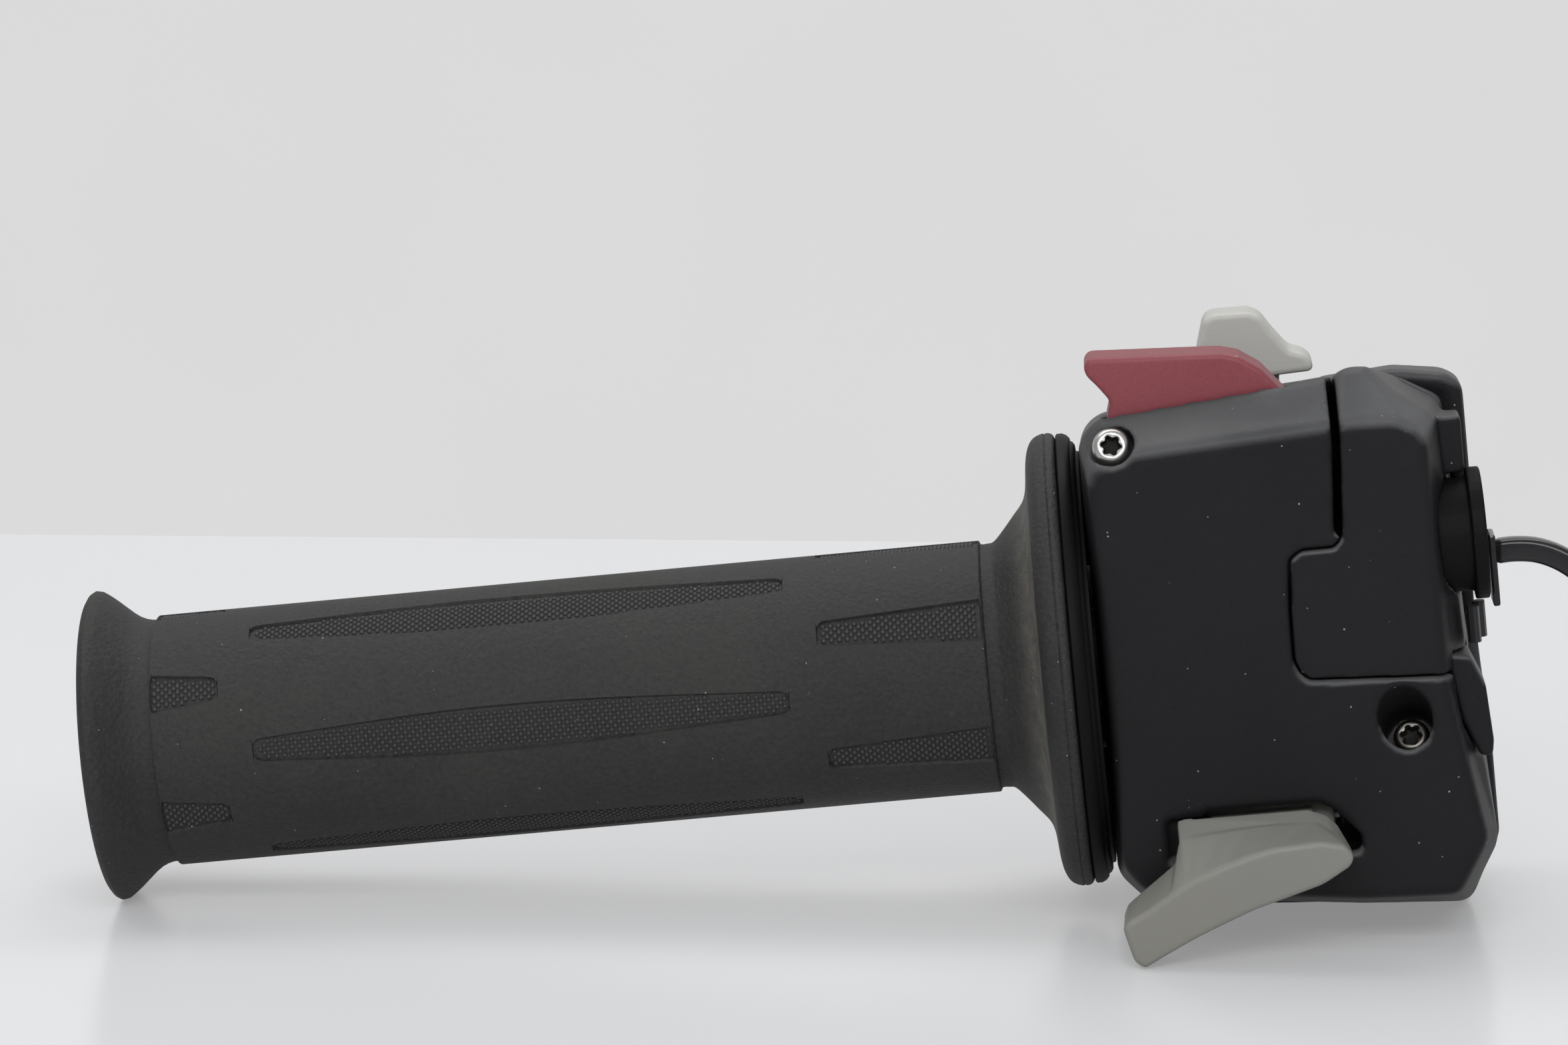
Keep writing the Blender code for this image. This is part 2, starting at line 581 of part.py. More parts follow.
# Rear shell
rear_shell = shell_outside("rear_shell", rear_form)
hollow_out(rear_shell, rear_room,
           bosses(rear_shell) + pivot_lugs(rear_shell, CANCEL_PIVOT, CANCEL_SPAN, 1, 16.0))
cut_for_bar(rear_shell)
cut_for_screws(rear_shell)
boolean(rear_shell, block("cancel_slot", CANCEL_SLOT[0], CANCEL_SLOT[1], cutters))
boolean(rear_shell, rod("cancel_pin_hole", (CANCEL_SPAN[0] - 1, *CANCEL_PIVOT),
                        (CANCEL_SPAN[1] + 1, *CANCEL_PIVOT), PIVOT_RADIUS + PIN_GAP, cutters))
dress(make_solid(rear_shell), casing)


def star(radius, points=6):
    """A six-lobed drive recess as an outline about the origin."""
    ring = []
    for index in range(points * 2):
        angle = math.pi * index / points
        reach = radius if index % 2 == 0 else radius * 0.72
        ring.append((reach * math.cos(angle), reach * math.sin(angle)))
    return ring


def screw(tag, head, run, head_radius):
    """A pan head screw with a six-lobed drive, its head face at the head point."""
    item = turned("shell_screw_" + tag, [
        (SCREW_REACH, 0.0),
        (SCREW_REACH - 1.0, SCREW_RADIUS),
        (HEAD_HEIGHT, SCREW_RADIUS),
        (HEAD_HEIGHT, head_radius),
        (0.6, head_radius),
        (0.0, head_radius - 0.6),
        (0.0, 0.0),
    ], steps=24)
    make_solid(item)
    boolean(item, plate(tag + "_drive", star(DRIVE_RADIUS), -1.0, DRIVE_DEPTH, "X", cutters))
    make_solid(item)
    item.data.transform(Matrix.Translation(head * MM) @ run.to_track_quat("X", "Z").to_matrix().to_4x4())
    return dress(item, steel)


for tag, head, run, head_radius in screw_sites:
    screw(tag, head, run, head_radius)

# The split ring that grips the bar inside the inboard wall.
clamp = turned("bar_clamp", [
    (INNER_END - GAP, BAR_RADIUS + BAR_GAP),
    (INNER_END - GAP, BAR_RADIUS + CLAMP_WALL),
    (INNER_END - GAP - CLAMP_WIDTH, BAR_RADIUS + CLAMP_WALL),
    (INNER_END - GAP - CLAMP_WIDTH, BAR_RADIUS + BAR_GAP),
], steps=48)
make_solid(clamp)
boolean(clamp, block("clamp_split", (INNER_END - 8, -1.5, -20), (INNER_END + 2, 1.5, -5), cutters))
dress(make_solid(clamp), steel)


# ---------------------------------------------------------------- cable way

# The stub tube that the cable's end fitting plugs into.
outlet_end = LONG + OUTLET_STAND
outlet = turned("cable_outlet", [
    (outlet_end, GUIDE_RADIUS + GAP),
    (outlet_end, OUTLET_FLANGE_RADIUS),
    (outlet_end - OUTLET_FLANGE, OUTLET_FLANGE_RADIUS),
    (outlet_end - OUTLET_FLANGE, OUTLET_RADIUS),
    (INNER_END + GAP, OUTLET_RADIUS),
    (INNER_END + GAP, GUIDE_RADIUS + GAP),
], steps=36)
make_solid(outlet)
outlet.data.transform(Matrix.Translation((0, CABLE_DEPTH * MM, OUTLET_HEIGHT * MM)))
dress(outlet, inner_plastic)

# The elbow that leads the cable from the drum's groove into the stub.
elbow_steps = 8
elbow_line = []
for index in range(elbow_steps + 1):
    angle = math.pi / 2 * index / elbow_steps
    elbow_line.append((DRUM_MIDDLE + GUIDE_BEND * (1 - math.cos(angle)), CABLE_DEPTH,
                       OUTLET_HEIGHT - GUIDE_BEND * (1 - math.sin(angle))))
elbow_line.append((LONG - 4.0, CABLE_DEPTH, OUTLET_HEIGHT))


def pipe(name, line, radius, wall=None, resolution=3):
    """A round tube along a line: solid with closed ends, or with a wall and open ends."""
    shape = bpy.data.curves.new(name, "CURVE")
    shape.dimensions = "3D"
    shape.bevel_depth = (radius - (wall or 0.0)) * MM
    shape.bevel_resolution = resolution
    shape.use_fill_caps = wall is None
    run = shape.splines.new("POLY")
    run.points.add(len(line) - 1)
    for point, place in zip(run.points, line):
        point.co = (*(value * MM for value in place), 1.0)
    item = link(name, shape)
    if wall is None:
        return item
    bpy.context.view_layer.update()
    seen = item.evaluated_get(bpy.context.evaluated_depsgraph_get())
    mesh = bpy.data.meshes.new_from_object(seen)
    bpy.data.objects.remove(item, do_unlink=True)
    item = link(name, mesh)
    skin = item.modifiers.new("wall", "SOLIDIFY")
    skin.thickness = wall * MM
    skin.offset = 1.0
    return item


guide = pipe("cable_guide", elbow_line, GUIDE_RADIUS, GUIDE_WALL)
dress(make_solid(guide), inner_plastic)


# ---------------------------------------------------------------- engine stop rocker

# The red rocker: a thumb blade with a lip towards the grip, on a web with a pivot bore.
ROCKER = [
    (1.7, 44.5), (2.5, 45.5), (20.8, 44.5), (23.3, 43.8), (26.2, 41.8), (29.5, 37.8), (29.5, 36.6),
    (4.4, 35.4), (4.3, 36.8), (5.0, 39.2), (3.3, 41.5), (1.9, 43.1),
]
rocker = plate("kill_lever", ROCKER, *STOP_SPAN)
round_edges(rocker, 0.7, 2)
make_solid(rocker)
web_span = (-15.6, -11.4)
web = block("rocker_web", (STOP_PIVOT[0] - 2.6, web_span[0], STOP_PIVOT[1] - 2.4),
            (STOP_PIVOT[0] + 2.6, web_span[1], 38.0))
boolean(rocker, web, "UNION")
boolean(rocker, rod("rocker_bore", (STOP_PIVOT[0], -30, STOP_PIVOT[1]), (STOP_PIVOT[0], 0, STOP_PIVOT[1]),
                    PIVOT_RADIUS + PIN_GAP, cutters))
dress(make_solid(rocker), red_plastic)

ear_gap = 0.4
stop_pin = rod("kill_pivot_pin", (STOP_PIVOT[0], STOP_SPAN[0], STOP_PIVOT[1]),
               (STOP_PIVOT[0], STOP_SPAN[1], STOP_PIVOT[1]), PIVOT_RADIUS)
dress(stop_pin, steel)
boss_edge = UPPER_HEAD.x + UPPER_HEAD_RADIUS + BOSS_WALL["upper"]
stop_base = block("kill_switch_body", (boss_edge + GAP, STOP_SPAN[0], 19.5), (26.0, STOP_SPAN[1], 27.6))
for index, (near, far) in enumerate(((STOP_SPAN[0], web_span[0] - ear_gap), (web_span[1] + ear_gap, STOP_SPAN[1]))):
    ear = block("stop_ear_%d" % index, (STOP_PIVOT[0] - 3.0, near, 25.0), (STOP_PIVOT[0] + 3.0, far, 33.4))
    boolean(stop_base, ear, "UNION")
boolean(stop_base, rod("stop_pin_hole", (STOP_PIVOT[0], -30, STOP_PIVOT[1]), (STOP_PIVOT[0], 0, STOP_PIVOT[1]),
                       PIVOT_RADIUS + PIN_GAP, cutters))
dress(make_solid(stop_base), inner_plastic)


# ---------------------------------------------------------------- sprung paddles

def paddle_pivot(tag, pivot, span, hub_start, hub_end):
    """The pin, the torsion spring on it and the hub's bore cutter of one paddle."""
    pin = rod(tag + "_pivot_pin", (span[0] + 0.3, *pivot), (span[1] - 0.3, *pivot), PIVOT_RADIUS)
    dress(pin, steel)
    spring = helix(tag + "_return_spring", (hub_end + 0.3 + SPRING_WIRE, *pivot),
                   (hub_end + SPRING_WIDTH - SPRING_WIRE, *pivot), PIVOT_RADIUS + 0.75, SPRING_WIRE,
                   SPRING_TURNS)
    spring.data.materials.append(steel)
    return rod(tag + "_bore", (hub_start - 1, *pivot), (hub_end + 1, *pivot), PIVOT_RADIUS + PIN_GAP, cutters)


# Lower paddle: a curved blade for the thumb, hung in front of the housing on a stem.
hub_start = TURN_SPAN[0] + LUG_WIDTH + GAP
hub_end = TURN_SPAN[1] - LUG_WIDTH - SPRING_WIDTH - GAP
BLADE_FRONT = [
    (0.1, -31.0), (0.8, -30.3), (3.6, -29.0), (7.2, -26.8), (9.0, -25.9), (11.1, -24.9), (15.0, -23.5),
    (18.9, -22.3), (22.2, -21.6), (28.5, -21.3), (31.6, -22.0), (32.8, -23.6), (32.2, -25.0), (28.9, -26.9),
    (27.8, -27.4), (18.3, -30.1), (13.9, -31.8), (10.2, -33.3), (5.0, -35.8), (2.7, -37.0), (1.3, -35.9),
]
BLADE_BACK = [
    (0.4, -30.6), (1.2, -28.9), (3.4, -27.2), (8.2, -23.7), (8.9, -20.3), (11.1, -20.1), (15.0, -19.8),
    (18.9, -19.6), (22.2, -19.5), (28.2, -19.9), (31.3, -21.9), (32.6, -23.9), (32.1, -25.2), (28.9, -27.0),
    (27.8, -27.5), (18.3, -30.2), (13.9, -31.8), (10.2, -33.2), (5.0, -35.4), (3.0, -36.3), (1.9, -35.4),
]
blade = loft("turn_paddle", [(-38.0, BLADE_FRONT), (-31.0, BLADE_BACK)])
round_edges(blade, 0.5, 2, 34)
make_solid(blade)
SHELF_FRONT = [
    (9.0, -20.7), (27.4, -20.1), (30.0, -20.9), (31.3, -22.3), (32.2, -24.2), (31.7, -25.2), (28.0, -26.8),
    (9.0, -28.4),
]
SHELF_BACK = [
    (8.9, -18.4), (27.1, -18.6), (29.7, -19.7), (31.0, -21.2), (32.3, -24.0), (31.8, -25.3), (28.0, -26.5),
    (9.0, -26.8),
]
shelf = loft("paddle_shelf", [(-31.7, SHELF_FRONT), (-27.8, SHELF_BACK)])
boolean(blade, shelf, "UNION")
stem = block("paddle_stem", (hub_start + STEM_INSET, -29.0, TURN_PIVOT[1] - 1.8),
             (hub_end - 3.0, TURN_PIVOT[0] + 0.3, TURN_PIVOT[1] + 1.8))
hub = rod("paddle_hub", (hub_start, *TURN_PIVOT), (hub_end, *TURN_PIVOT), HUB_RADIUS)
boolean(stem, hub, "UNION")
boolean(stem, paddle_pivot("turn", TURN_PIVOT, TURN_SPAN, hub_start, hub_end))
boolean(blade, make_solid(stem), "UNION")
dress(make_solid(blade), grey_plastic)
dress(block("turn_switch_body", (TURN_SPAN[0] + LUG_WIDTH + GAP, TURN_PIVOT[0] + HUB_RADIUS + 1.2, -28.4),
            (TURN_SPAN[1] - LUG_WIDTH - GAP, TURN_PIVOT[0] + 7.4, -19.5)), inner_plastic)

# Upper paddle: a fin that stands out of the rear shell behind the rocker.
hub_start = CANCEL_SPAN[0] + LUG_WIDTH + GAP
hub_end = CANCEL_SPAN[1] - LUG_WIDTH - SPRING_WIDTH - GAP
FIN = [
    (17.2, 38.6), (17.8, 42.2), (19.0, 46.3), (20.2, 47.0), (25.4, 46.9), (27.0, 46.2), (28.4, 44.0),
    (30.6, 41.0), (32.9, 40.2), (33.9, 39.0), (33.9, 37.6), (18.6, 37.0),
]
fin = plate("cancel_paddle", FIN, 3.2, 10.8)
round_edges(fin, 0.8, 2)
make_solid(fin)
stem = block("fin_stem", (hub_start + STEM_INSET, CANCEL_PIVOT[0] - 1.8, CANCEL_PIVOT[1] - 0.3),
             (hub_end - STEM_INSET, CANCEL_PIVOT[0] + 1.8, 38.5))
hub = rod("fin_hub", (hub_start, *CANCEL_PIVOT), (hub_end, *CANCEL_PIVOT), HUB_RADIUS)
boolean(stem, hub, "UNION")
boolean(stem, paddle_pivot("cancel", CANCEL_PIVOT, CANCEL_SPAN, hub_start, hub_end))
boolean(fin, make_solid(stem), "UNION")
dress(make_solid(fin), grey_plastic)
dress(block("cancel_switch_body", (CANCEL_SPAN[0] + LUG_WIDTH + GAP, CANCEL_PIVOT[0] + HUB_RADIUS + 1.2, 20.0),
            (CANCEL_SPAN[1] - LUG_WIDTH - GAP, CANCEL_PIVOT[0] + 7.4, 28.4)), inner_plastic)


# ---------------------------------------------------------------- leads and tie

# Two leads that run down the side from the outlet to the clip.
for name, x, y in (("lead_front", LONG - 1.9, -18.6), ("lead_rear", LONG - 0.9, -14.8)):
    line = [(x, y, OUTLET_HEIGHT - OUTLET_RADIUS - 1.6 - 1.7 * step) for step in range(4)]
    lead = pipe(name, line, 0.9, resolution=2)
    lead.data.materials.append(wire_cover)

# A plastic tie is threaded through the outlet: its head lies on the flange, its tail hangs.
head_low = (outlet_end + GAP, CABLE_DEPTH - 2.8, OUTLET_HEIGHT - 10.2)
head_high = (outlet_end + GAP + 1.0, CABLE_DEPTH + 2.8, OUTLET_HEIGHT - 0.1)
tie_head = block("tie_head", head_low, head_high)
round_edges(tie_head, 0.3, 2)
dress(make_solid(tie_head), wire_cover)
TAIL = [
    (56.8, -15.6, 12.9), (59.2, -15.9, 13.0), (62.5, -16.2, 12.5), (65.8, -16.6, 10.9), (68.9, -17.1, 8.2),
    (71.8, -17.7, 4.6), (74.4, -18.4, 0.3), (76.8, -19.2, -4.6), (79.0, -20.0, -9.9), (81.1, -20.8, -15.4),
    (83.2, -21.6, -21.0), (85.4, -22.4, -26.6), (87.8, -23.2, -32.0), (90.6, -24.0, -37.1),
    (94.2, -24.8, -41.6), (98.6, -25.5, -44.4), (103.4, -26.2, -45.5),
]
strap = pipe("tie_strap", TAIL, TIE_RADIUS, resolution=2)
strap.data.materials.append(wire_cover)
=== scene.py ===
import math

import bmesh
import bpy
from mathutils import Matrix, Vector


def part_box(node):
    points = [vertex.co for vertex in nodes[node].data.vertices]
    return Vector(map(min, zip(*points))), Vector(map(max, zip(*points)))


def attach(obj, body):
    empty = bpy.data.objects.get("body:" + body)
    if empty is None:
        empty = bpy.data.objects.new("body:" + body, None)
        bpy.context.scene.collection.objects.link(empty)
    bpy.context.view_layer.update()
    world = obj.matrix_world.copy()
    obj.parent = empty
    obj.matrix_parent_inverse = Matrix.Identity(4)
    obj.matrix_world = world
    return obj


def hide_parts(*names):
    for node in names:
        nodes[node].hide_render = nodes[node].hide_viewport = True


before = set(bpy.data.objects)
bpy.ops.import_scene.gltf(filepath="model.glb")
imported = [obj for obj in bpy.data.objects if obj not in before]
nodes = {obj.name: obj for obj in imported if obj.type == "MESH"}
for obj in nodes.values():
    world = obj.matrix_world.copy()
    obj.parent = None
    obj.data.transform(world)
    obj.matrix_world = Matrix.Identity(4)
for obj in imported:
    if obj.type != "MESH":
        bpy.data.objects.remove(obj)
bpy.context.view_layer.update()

MM = 0.001

# ---------------------------------------------------------------------------------------
# Table, backdrop, lights and camera. The grip lies tilted on the table: the flared rim and
# the housing's lower edge touch it, so the table leans against the part's own frame.
# ---------------------------------------------------------------------------------------
lean = math.radians(5.774)
rim_height = 22.1 * MM
rim_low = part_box("grip_rubber")[0]
to_part = Matrix.Translation((rim_low[0], 0, 0)) @ Matrix.Rotation(lean, 4, "Y")
to_part = to_part @ Matrix.Translation((0, 0, -rim_height))


def plain_finish(name, colour, roughness, own_light):
    """Table or wall: one slightly cloudy colour, part of which camera and mirror rays see unlit."""
    made = bpy.data.materials.new(name)
    made.use_nodes = True
    tree = made.node_tree
    add, link = tree.nodes.new, tree.links.new
    shader = tree.nodes["Principled BSDF"]
    place, cloud, ramp = add("ShaderNodeTexCoord"), add("ShaderNodeTexNoise"), add("ShaderNodeValToRGB")
    cloud.inputs["Scale"].default_value = 9.0
    cloud.inputs["Detail"].default_value = 3.0
    ramp.color_ramp.elements[0].position = 0.3
    ramp.color_ramp.elements[0].color = (*[part * 0.985 for part in colour], 1)
    ramp.color_ramp.elements[1].position = 0.7
    ramp.color_ramp.elements[1].color = (*colour, 1)
    link(place.outputs["Object"], cloud.inputs["Vector"])
    link(cloud.outputs["Fac"], ramp.inputs["Fac"])
    link(ramp.outputs["Color"], shader.inputs["Base Color"])
    shader.inputs["Roughness"].default_value = roughness
    rays, glow, blend = add("ShaderNodeLightPath"), add("ShaderNodeEmission"), add("ShaderNodeMixShader")
    either, both, part = add("ShaderNodeMath"), add("ShaderNodeMath"), add("ShaderNodeMath")
    either.operation = both.operation = "MAXIMUM"
    part.operation = "MULTIPLY"
    part.inputs[1].default_value = own_light
    link(rays.outputs["Is Camera Ray"], either.inputs[0])
    link(rays.outputs["Is Glossy Ray"], either.inputs[1])
    link(either.outputs[0], both.inputs[0])
    link(rays.outputs["Is Transmission Ray"], both.inputs[1])
    link(both.outputs[0], part.inputs[0])
    link(part.outputs[0], blend.inputs["Fac"])
    link(ramp.outputs["Color"], glow.inputs["Color"])
    link(shader.outputs["BSDF"], blend.inputs[1])
    link(glow.outputs["Emission"], blend.inputs[2])
    link(blend.outputs["Shader"], tree.nodes["Material Output"].inputs["Surface"])
    return made


def stage_sheet(name, corners, finish):
    form = bmesh.new()
    form.faces.new([form.verts.new(corner) for corner in corners])
    mesh = bpy.data.meshes.new(name)
    form.to_mesh(mesh)
    form.free()
    mesh.transform(to_part)
    mesh.materials.append(finish)
    sheet = bpy.data.objects.new(name, mesh)
    bpy.context.scene.collection.objects.link(sheet)


table_finish = plain_finish("table_lacquer", (0.71, 0.71, 0.716), 0.22, 0.35)
wall_finish = plain_finish("wall_paint", (0.71, 0.71, 0.71), 0.9, 1.0)
table_front, table_back, table_side = -2.2, 0.295, 3
wall_back, wall_side, wall_low, wall_high = 1.6, 5, -1.5, 4
stage_sheet("table_top", [(-table_side, table_front, 0), (table_side, table_front, 0),
                          (table_side, table_back, 0), (-table_side, table_back, 0)], table_finish)
stage_sheet("table_lip", [(-table_side, table_back, 0), (table_side, table_back, 0),
                          (table_side, table_back + 0.004, -0.05),
                          (-table_side, table_back + 0.004, -0.05)], table_finish)
stage_sheet("wall", [(-wall_side, wall_back, wall_low), (wall_side, wall_back, wall_low),
                     (wall_side, wall_back, wall_high), (-wall_side, wall_back, wall_high)], wall_finish)

world = bpy.data.worlds.new("studio")
bpy.context.scene.world = world
world.use_nodes = True
world.node_tree.nodes["Background"].inputs["Color"].default_value = (0.93, 0.96, 1.0, 1)
world.node_tree.nodes["Background"].inputs["Strength"].default_value = 0.56


def softbox(name, place, aim, width, height, power):
    """A rectangular lamp given in the table's frame."""
    lamp = bpy.data.lights.new(name, "AREA")
    lamp.shape = "RECTANGLE"
    lamp.size = width
    lamp.size_y = height
    lamp.energy = power
    item = bpy.data.objects.new(name, lamp)
    bpy.context.scene.collection.objects.link(item)
    look = (Vector(aim) - Vector(place)).to_track_quat("-Z", "Y").to_matrix().to_4x4()
    item.matrix_world = to_part @ Matrix.Translation(place) @ look


softbox("overhead", (-0.1, 0.4, 1.3), (0.1, 0.0, 0.0), 1.7, 0.6, 12)
softbox("front_high", (0.15, -1.25, 0.85), (0.1, 0.0, 0.0), 1.1, 0.45, 12)

camera_place = Vector((138.8, -897.0, 213.9)) * MM
camera_yaw = math.radians(2.596)
camera_dip = math.radians(10.0)
lens = bpy.data.cameras.new("camera")
lens.sensor_width = 36.0
lens.lens = 146.87
camera = bpy.data.objects.new("camera", lens)
bpy.context.scene.collection.objects.link(camera)
aim = Matrix.Rotation(camera_yaw, 4, "Z") @ Matrix.Rotation(math.pi / 2 - camera_dip, 4, "X")
camera.matrix_world = to_part @ Matrix.Translation(camera_place) @ aim
bpy.context.scene.camera = camera
bpy.context.scene.view_settings.view_transform = "Standard"

# ---------------------------------------------------------------------------------------
# Black plastic tie. Its head lies on the outlet's flange and its free tail, a flat band of
# polyamide, arches out and falls to the table.
# ---------------------------------------------------------------------------------------


def effect_group(name, inputs, outputs):
    """An empty shader node group with named sockets, and its in and out nodes."""
    group = bpy.data.node_groups.new(name, "ShaderNodeTree")
    for label, kind, value in inputs:
        socket = group.interface.new_socket(label, in_out="INPUT", socket_type=kind)
        socket.default_value = value
    for label, kind in outputs:
        group.interface.new_socket(label, in_out="OUTPUT", socket_type=kind)
    return group, group.nodes.new("NodeGroupInput"), group.nodes.new("NodeGroupOutput")


def build_moulded_surface():
    """Grain, cloudy tone, dust specks, rubbed patches and a lighter veil on upward faces, partly settled dust
    and partly painted highlight, of a moulded or cast surface.
    """
    group, given, result = effect_group("moulded_surface", [
        ("Colour", "NodeSocketColor", (0.05, 0.05, 0.05, 1)),
        ("Worn Colour", "NodeSocketColor", (0.1, 0.1, 0.1, 1)),
        ("Wear", "NodeSocketFloat", 0.1),
        ("Dust", "NodeSocketFloat", 0.3),
        ("Dust Cells", "NodeSocketFloat", 260.0),
        ("Settled Dust", "NodeSocketFloat", 0.0),
        ("Grain Cells", "NodeSocketFloat", 3000.0),
        ("Grain Height", "NodeSocketFloat", 0.00003),
        ("Roughness", "NodeSocketFloat", 0.6),
    ], [("Colour", "NodeSocketColor"), ("Roughness", "NodeSocketFloat"), ("Normal", "NodeSocketVector")])
    link = group.links.new
    place = group.nodes.new("ShaderNodeTexCoord")

    def noise(scale, detail, rough=0.5):
        made = group.nodes.new("ShaderNodeTexNoise")
        made.inputs["Detail"].default_value = detail
        made.inputs["Roughness"].default_value = rough
        link(place.outputs["Object"], made.inputs["Vector"])
        if isinstance(scale, (int, float)):
            made.inputs["Scale"].default_value = scale
        else:
            link(scale, made.inputs["Scale"])
        return made

    def maths(operation, first, second, clamp=False):
        made = group.nodes.new("ShaderNodeMath")
        made.operation = operation
        made.use_clamp = clamp
        for socket, value in zip(made.inputs, (first, second)):
            if isinstance(value, (int, float)):
                socket.default_value = value
            else:
                link(value, socket)
        return made.outputs[0]

    def spread(value, low, high, to_low=0.0, to_high=1.0):
        made = group.nodes.new("ShaderNodeMapRange")
        link(value, made.inputs["Value"])
        made.inputs["From Min"].default_value = low
        made.inputs["From Max"].default_value = high
        made.inputs["To Min"].default_value = to_low
        made.inputs["To Max"].default_value = to_high
        return made.outputs["Result"]

    def mix(factor, first, second):
        made = group.nodes.new("ShaderNodeMix")
        made.data_type = "RGBA"
        link(factor, made.inputs["Factor"])
        for socket, value in zip((made.inputs[6], made.inputs[7]), (first, second)):
            if isinstance(value, tuple):
                socket.default_value = value
            else:
                link(value, socket)
        return made.outputs[2]

    # Grain: fine rounded cells with a slower swell under them.
    fine = noise(given.outputs["Grain Cells"], 3.0, 0.6)
    swell = noise(maths("MULTIPLY", given.outputs["Grain Cells"], 0.22), 2.0)
    height = maths("ADD", maths("MULTIPLY", fine.outputs["Fac"], 0.75),
                   maths("MULTIPLY", swell.outputs["Fac"], 0.5))
    bump = group.nodes.new("ShaderNodeBump")
    bump.inputs["Strength"].default_value = 1.0
    link(given.outputs["Grain Height"], bump.inputs["Distance"])
    link(height, bump.inputs["Height"])
    link(bump.outputs["Normal"], result.inputs["Normal"])

    # Tone: large soft clouds, and rubbed patches that show the worn colour.
    cloud = noise(38.0, 4.0)
    uneven = maths("ADD", cloud.outputs["Fac"], maths("MULTIPLY", fine.outputs["Fac"], 0.8))
    rubbed = spread(uneven, 0.72, 1.08)
    worn = mix(maths("MULTIPLY", rubbed, given.outputs["Wear"], True), given.outputs["Colour"],
               given.outputs["Worn Colour"])

    # Dust: a few pale specks of uneven size.
    cells = group.nodes.new("ShaderNodeTexVoronoi")
    link(place.outputs["Object"], cells.inputs["Vector"])
    link(given.outputs["Dust Cells"], cells.inputs["Scale"])
    split = group.nodes.new("ShaderNodeSeparateColor")
    link(cells.outputs["Color"], split.inputs["Color"])
    reach = spread(split.outputs[0], 0.68, 1.0, 0.0, 0.11)
    speck = spread(maths("SUBTRACT", reach, cells.outputs["Distance"]), 0.0, 0.03)
    speck = maths("MULTIPLY", speck, given.outputs["Dust"], True)
    specked = mix(speck, worn, (0.32, 0.31, 0.28, 1))

    # Settled dust and painted highlight: a thin even lighter veil wherever the surface faces upwards, partly
    # dust and partly the light falling on top faces painted in.
    facing = group.nodes.new("ShaderNodeSeparateXYZ")
    link(place.outputs["Normal"], facing.inputs[0])
    upward = spread(facing.outputs["Z"], 0.1, 0.42)
    settled = maths("MULTIPLY", cloud.outputs["Fac"], given.outputs["Settled Dust"])
    dust_and_sheen_veil = maths("MULTIPLY", upward, settled, True)
    link(mix(dust_and_sheen_veil, specked, (0.16, 0.16, 0.162, 1)), result.inputs["Colour"])

    # Sheen: the roughness drifts with the clouds.
    drift = spread(cloud.outputs["Fac"], 0.3, 0.7, -0.06, 0.06)
    link(maths("ADD", given.outputs["Roughness"], drift, True), result.inputs["Roughness"])
    return group


moulded_surface = build_moulded_surface()


def finish(name, colour, roughness, metallic=0.0, specular=0.5, **values):
    """A material whose colour, roughness and normal come from the moulded surface group."""
    made = bpy.data.materials.new(name)
    made.use_nodes = True
    tree = made.node_tree
    shader = tree.nodes["Principled BSDF"]
    shader.inputs["Metallic"].default_value = metallic
    shader.inputs["Specular IOR Level"].default_value = specular
    surface = tree.nodes.new("ShaderNodeGroup")
    surface.node_tree = moulded_surface
    surface.inputs["Colour"].default_value = (*colour, 1)
    surface.inputs["Roughness"].default_value = roughness
    for label, value in values.items():
        socket = surface.inputs[label.replace("_", " ").title()]
        socket.default_value = (*value, 1) if isinstance(value, tuple) else value
    for label, target in (("Colour", "Base Color"), ("Roughness", "Roughness"), ("Normal", "Normal")):
        tree.links.new(surface.outputs[label], shader.inputs[target])
    return made


def wear_finish(item, material):
    """Put one finish on every face of a piece or of a carried-over node."""
    if item.data.materials:
        item.data.materials.clear()
    item.data.materials.append(material)


def new_piece(name, mesh, body, material):
    piece = bpy.data.objects.new(name, mesh)
    bpy.context.scene.collection.objects.link(piece)
    wear_finish(piece, material)
    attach(piece, body)
    return piece


strap_plastic = finish("tie_plastic", (0.008, 0.008, 0.009), 0.16, specular=0.32, wear=0.05, dust=0.2,
                       grain_cells=900.0, grain_height=0.000008)
wear_finish(nodes["tie_head"], strap_plastic)

# The band's route, listed: out of the head, over a low hump and down to the table.
tail_route = [
    (56.2, -15.55, 12.85), (59.2, -15.9, 13.0), (62.5, -16.2, 12.5), (65.8, -16.6, 10.9), (68.9, -17.1, 8.2),
    (71.8, -17.7, 4.6), (74.4, -18.4, 0.3), (76.8, -19.2, -4.6), (79.0, -20.0, -9.9), (81.1, -20.8, -15.4),
    (83.2, -21.6, -21.0), (85.4, -22.4, -26.6), (87.8, -23.2, -32.0), (90.6, -24.0, -37.1),
    (94.2, -24.8, -41.6), (98.6, -25.5, -44.4), (103.4, -26.2, -45.5),
]
band_width = 3.4
band_thickness = 3.3
band_corner = 0.75


def smooth_line(points, steps):
    """Catmull-Rom points through a given route."""
    ends = [points[0] * 2 - points[1]] + points + [points[-1] * 2 - points[-2]]
    line = []
    for a, b, c, d in zip(ends, ends[1:], ends[2:], ends[3:]):
        for step in range(steps):
            t = step / steps
            line.append(0.5 * (2 * b + (c - a) * t + (2 * a - 5 * b + 4 * c - d) * t * t
                               + (3 * b - a - 3 * c + d) * t ** 3))
    return line + [points[-1]]


def join_rings(form, rings):
    """Bridge each ring of points to the next one and return the faces, ring by ring."""
    faces = []
    for near, far in zip(rings, rings[1:]):
        for k in range(len(near)):
            nxt = (k + 1) % len(near)
            faces.append(form.faces.new((near[k], near[nxt], far[nxt], far[k])))
    return faces


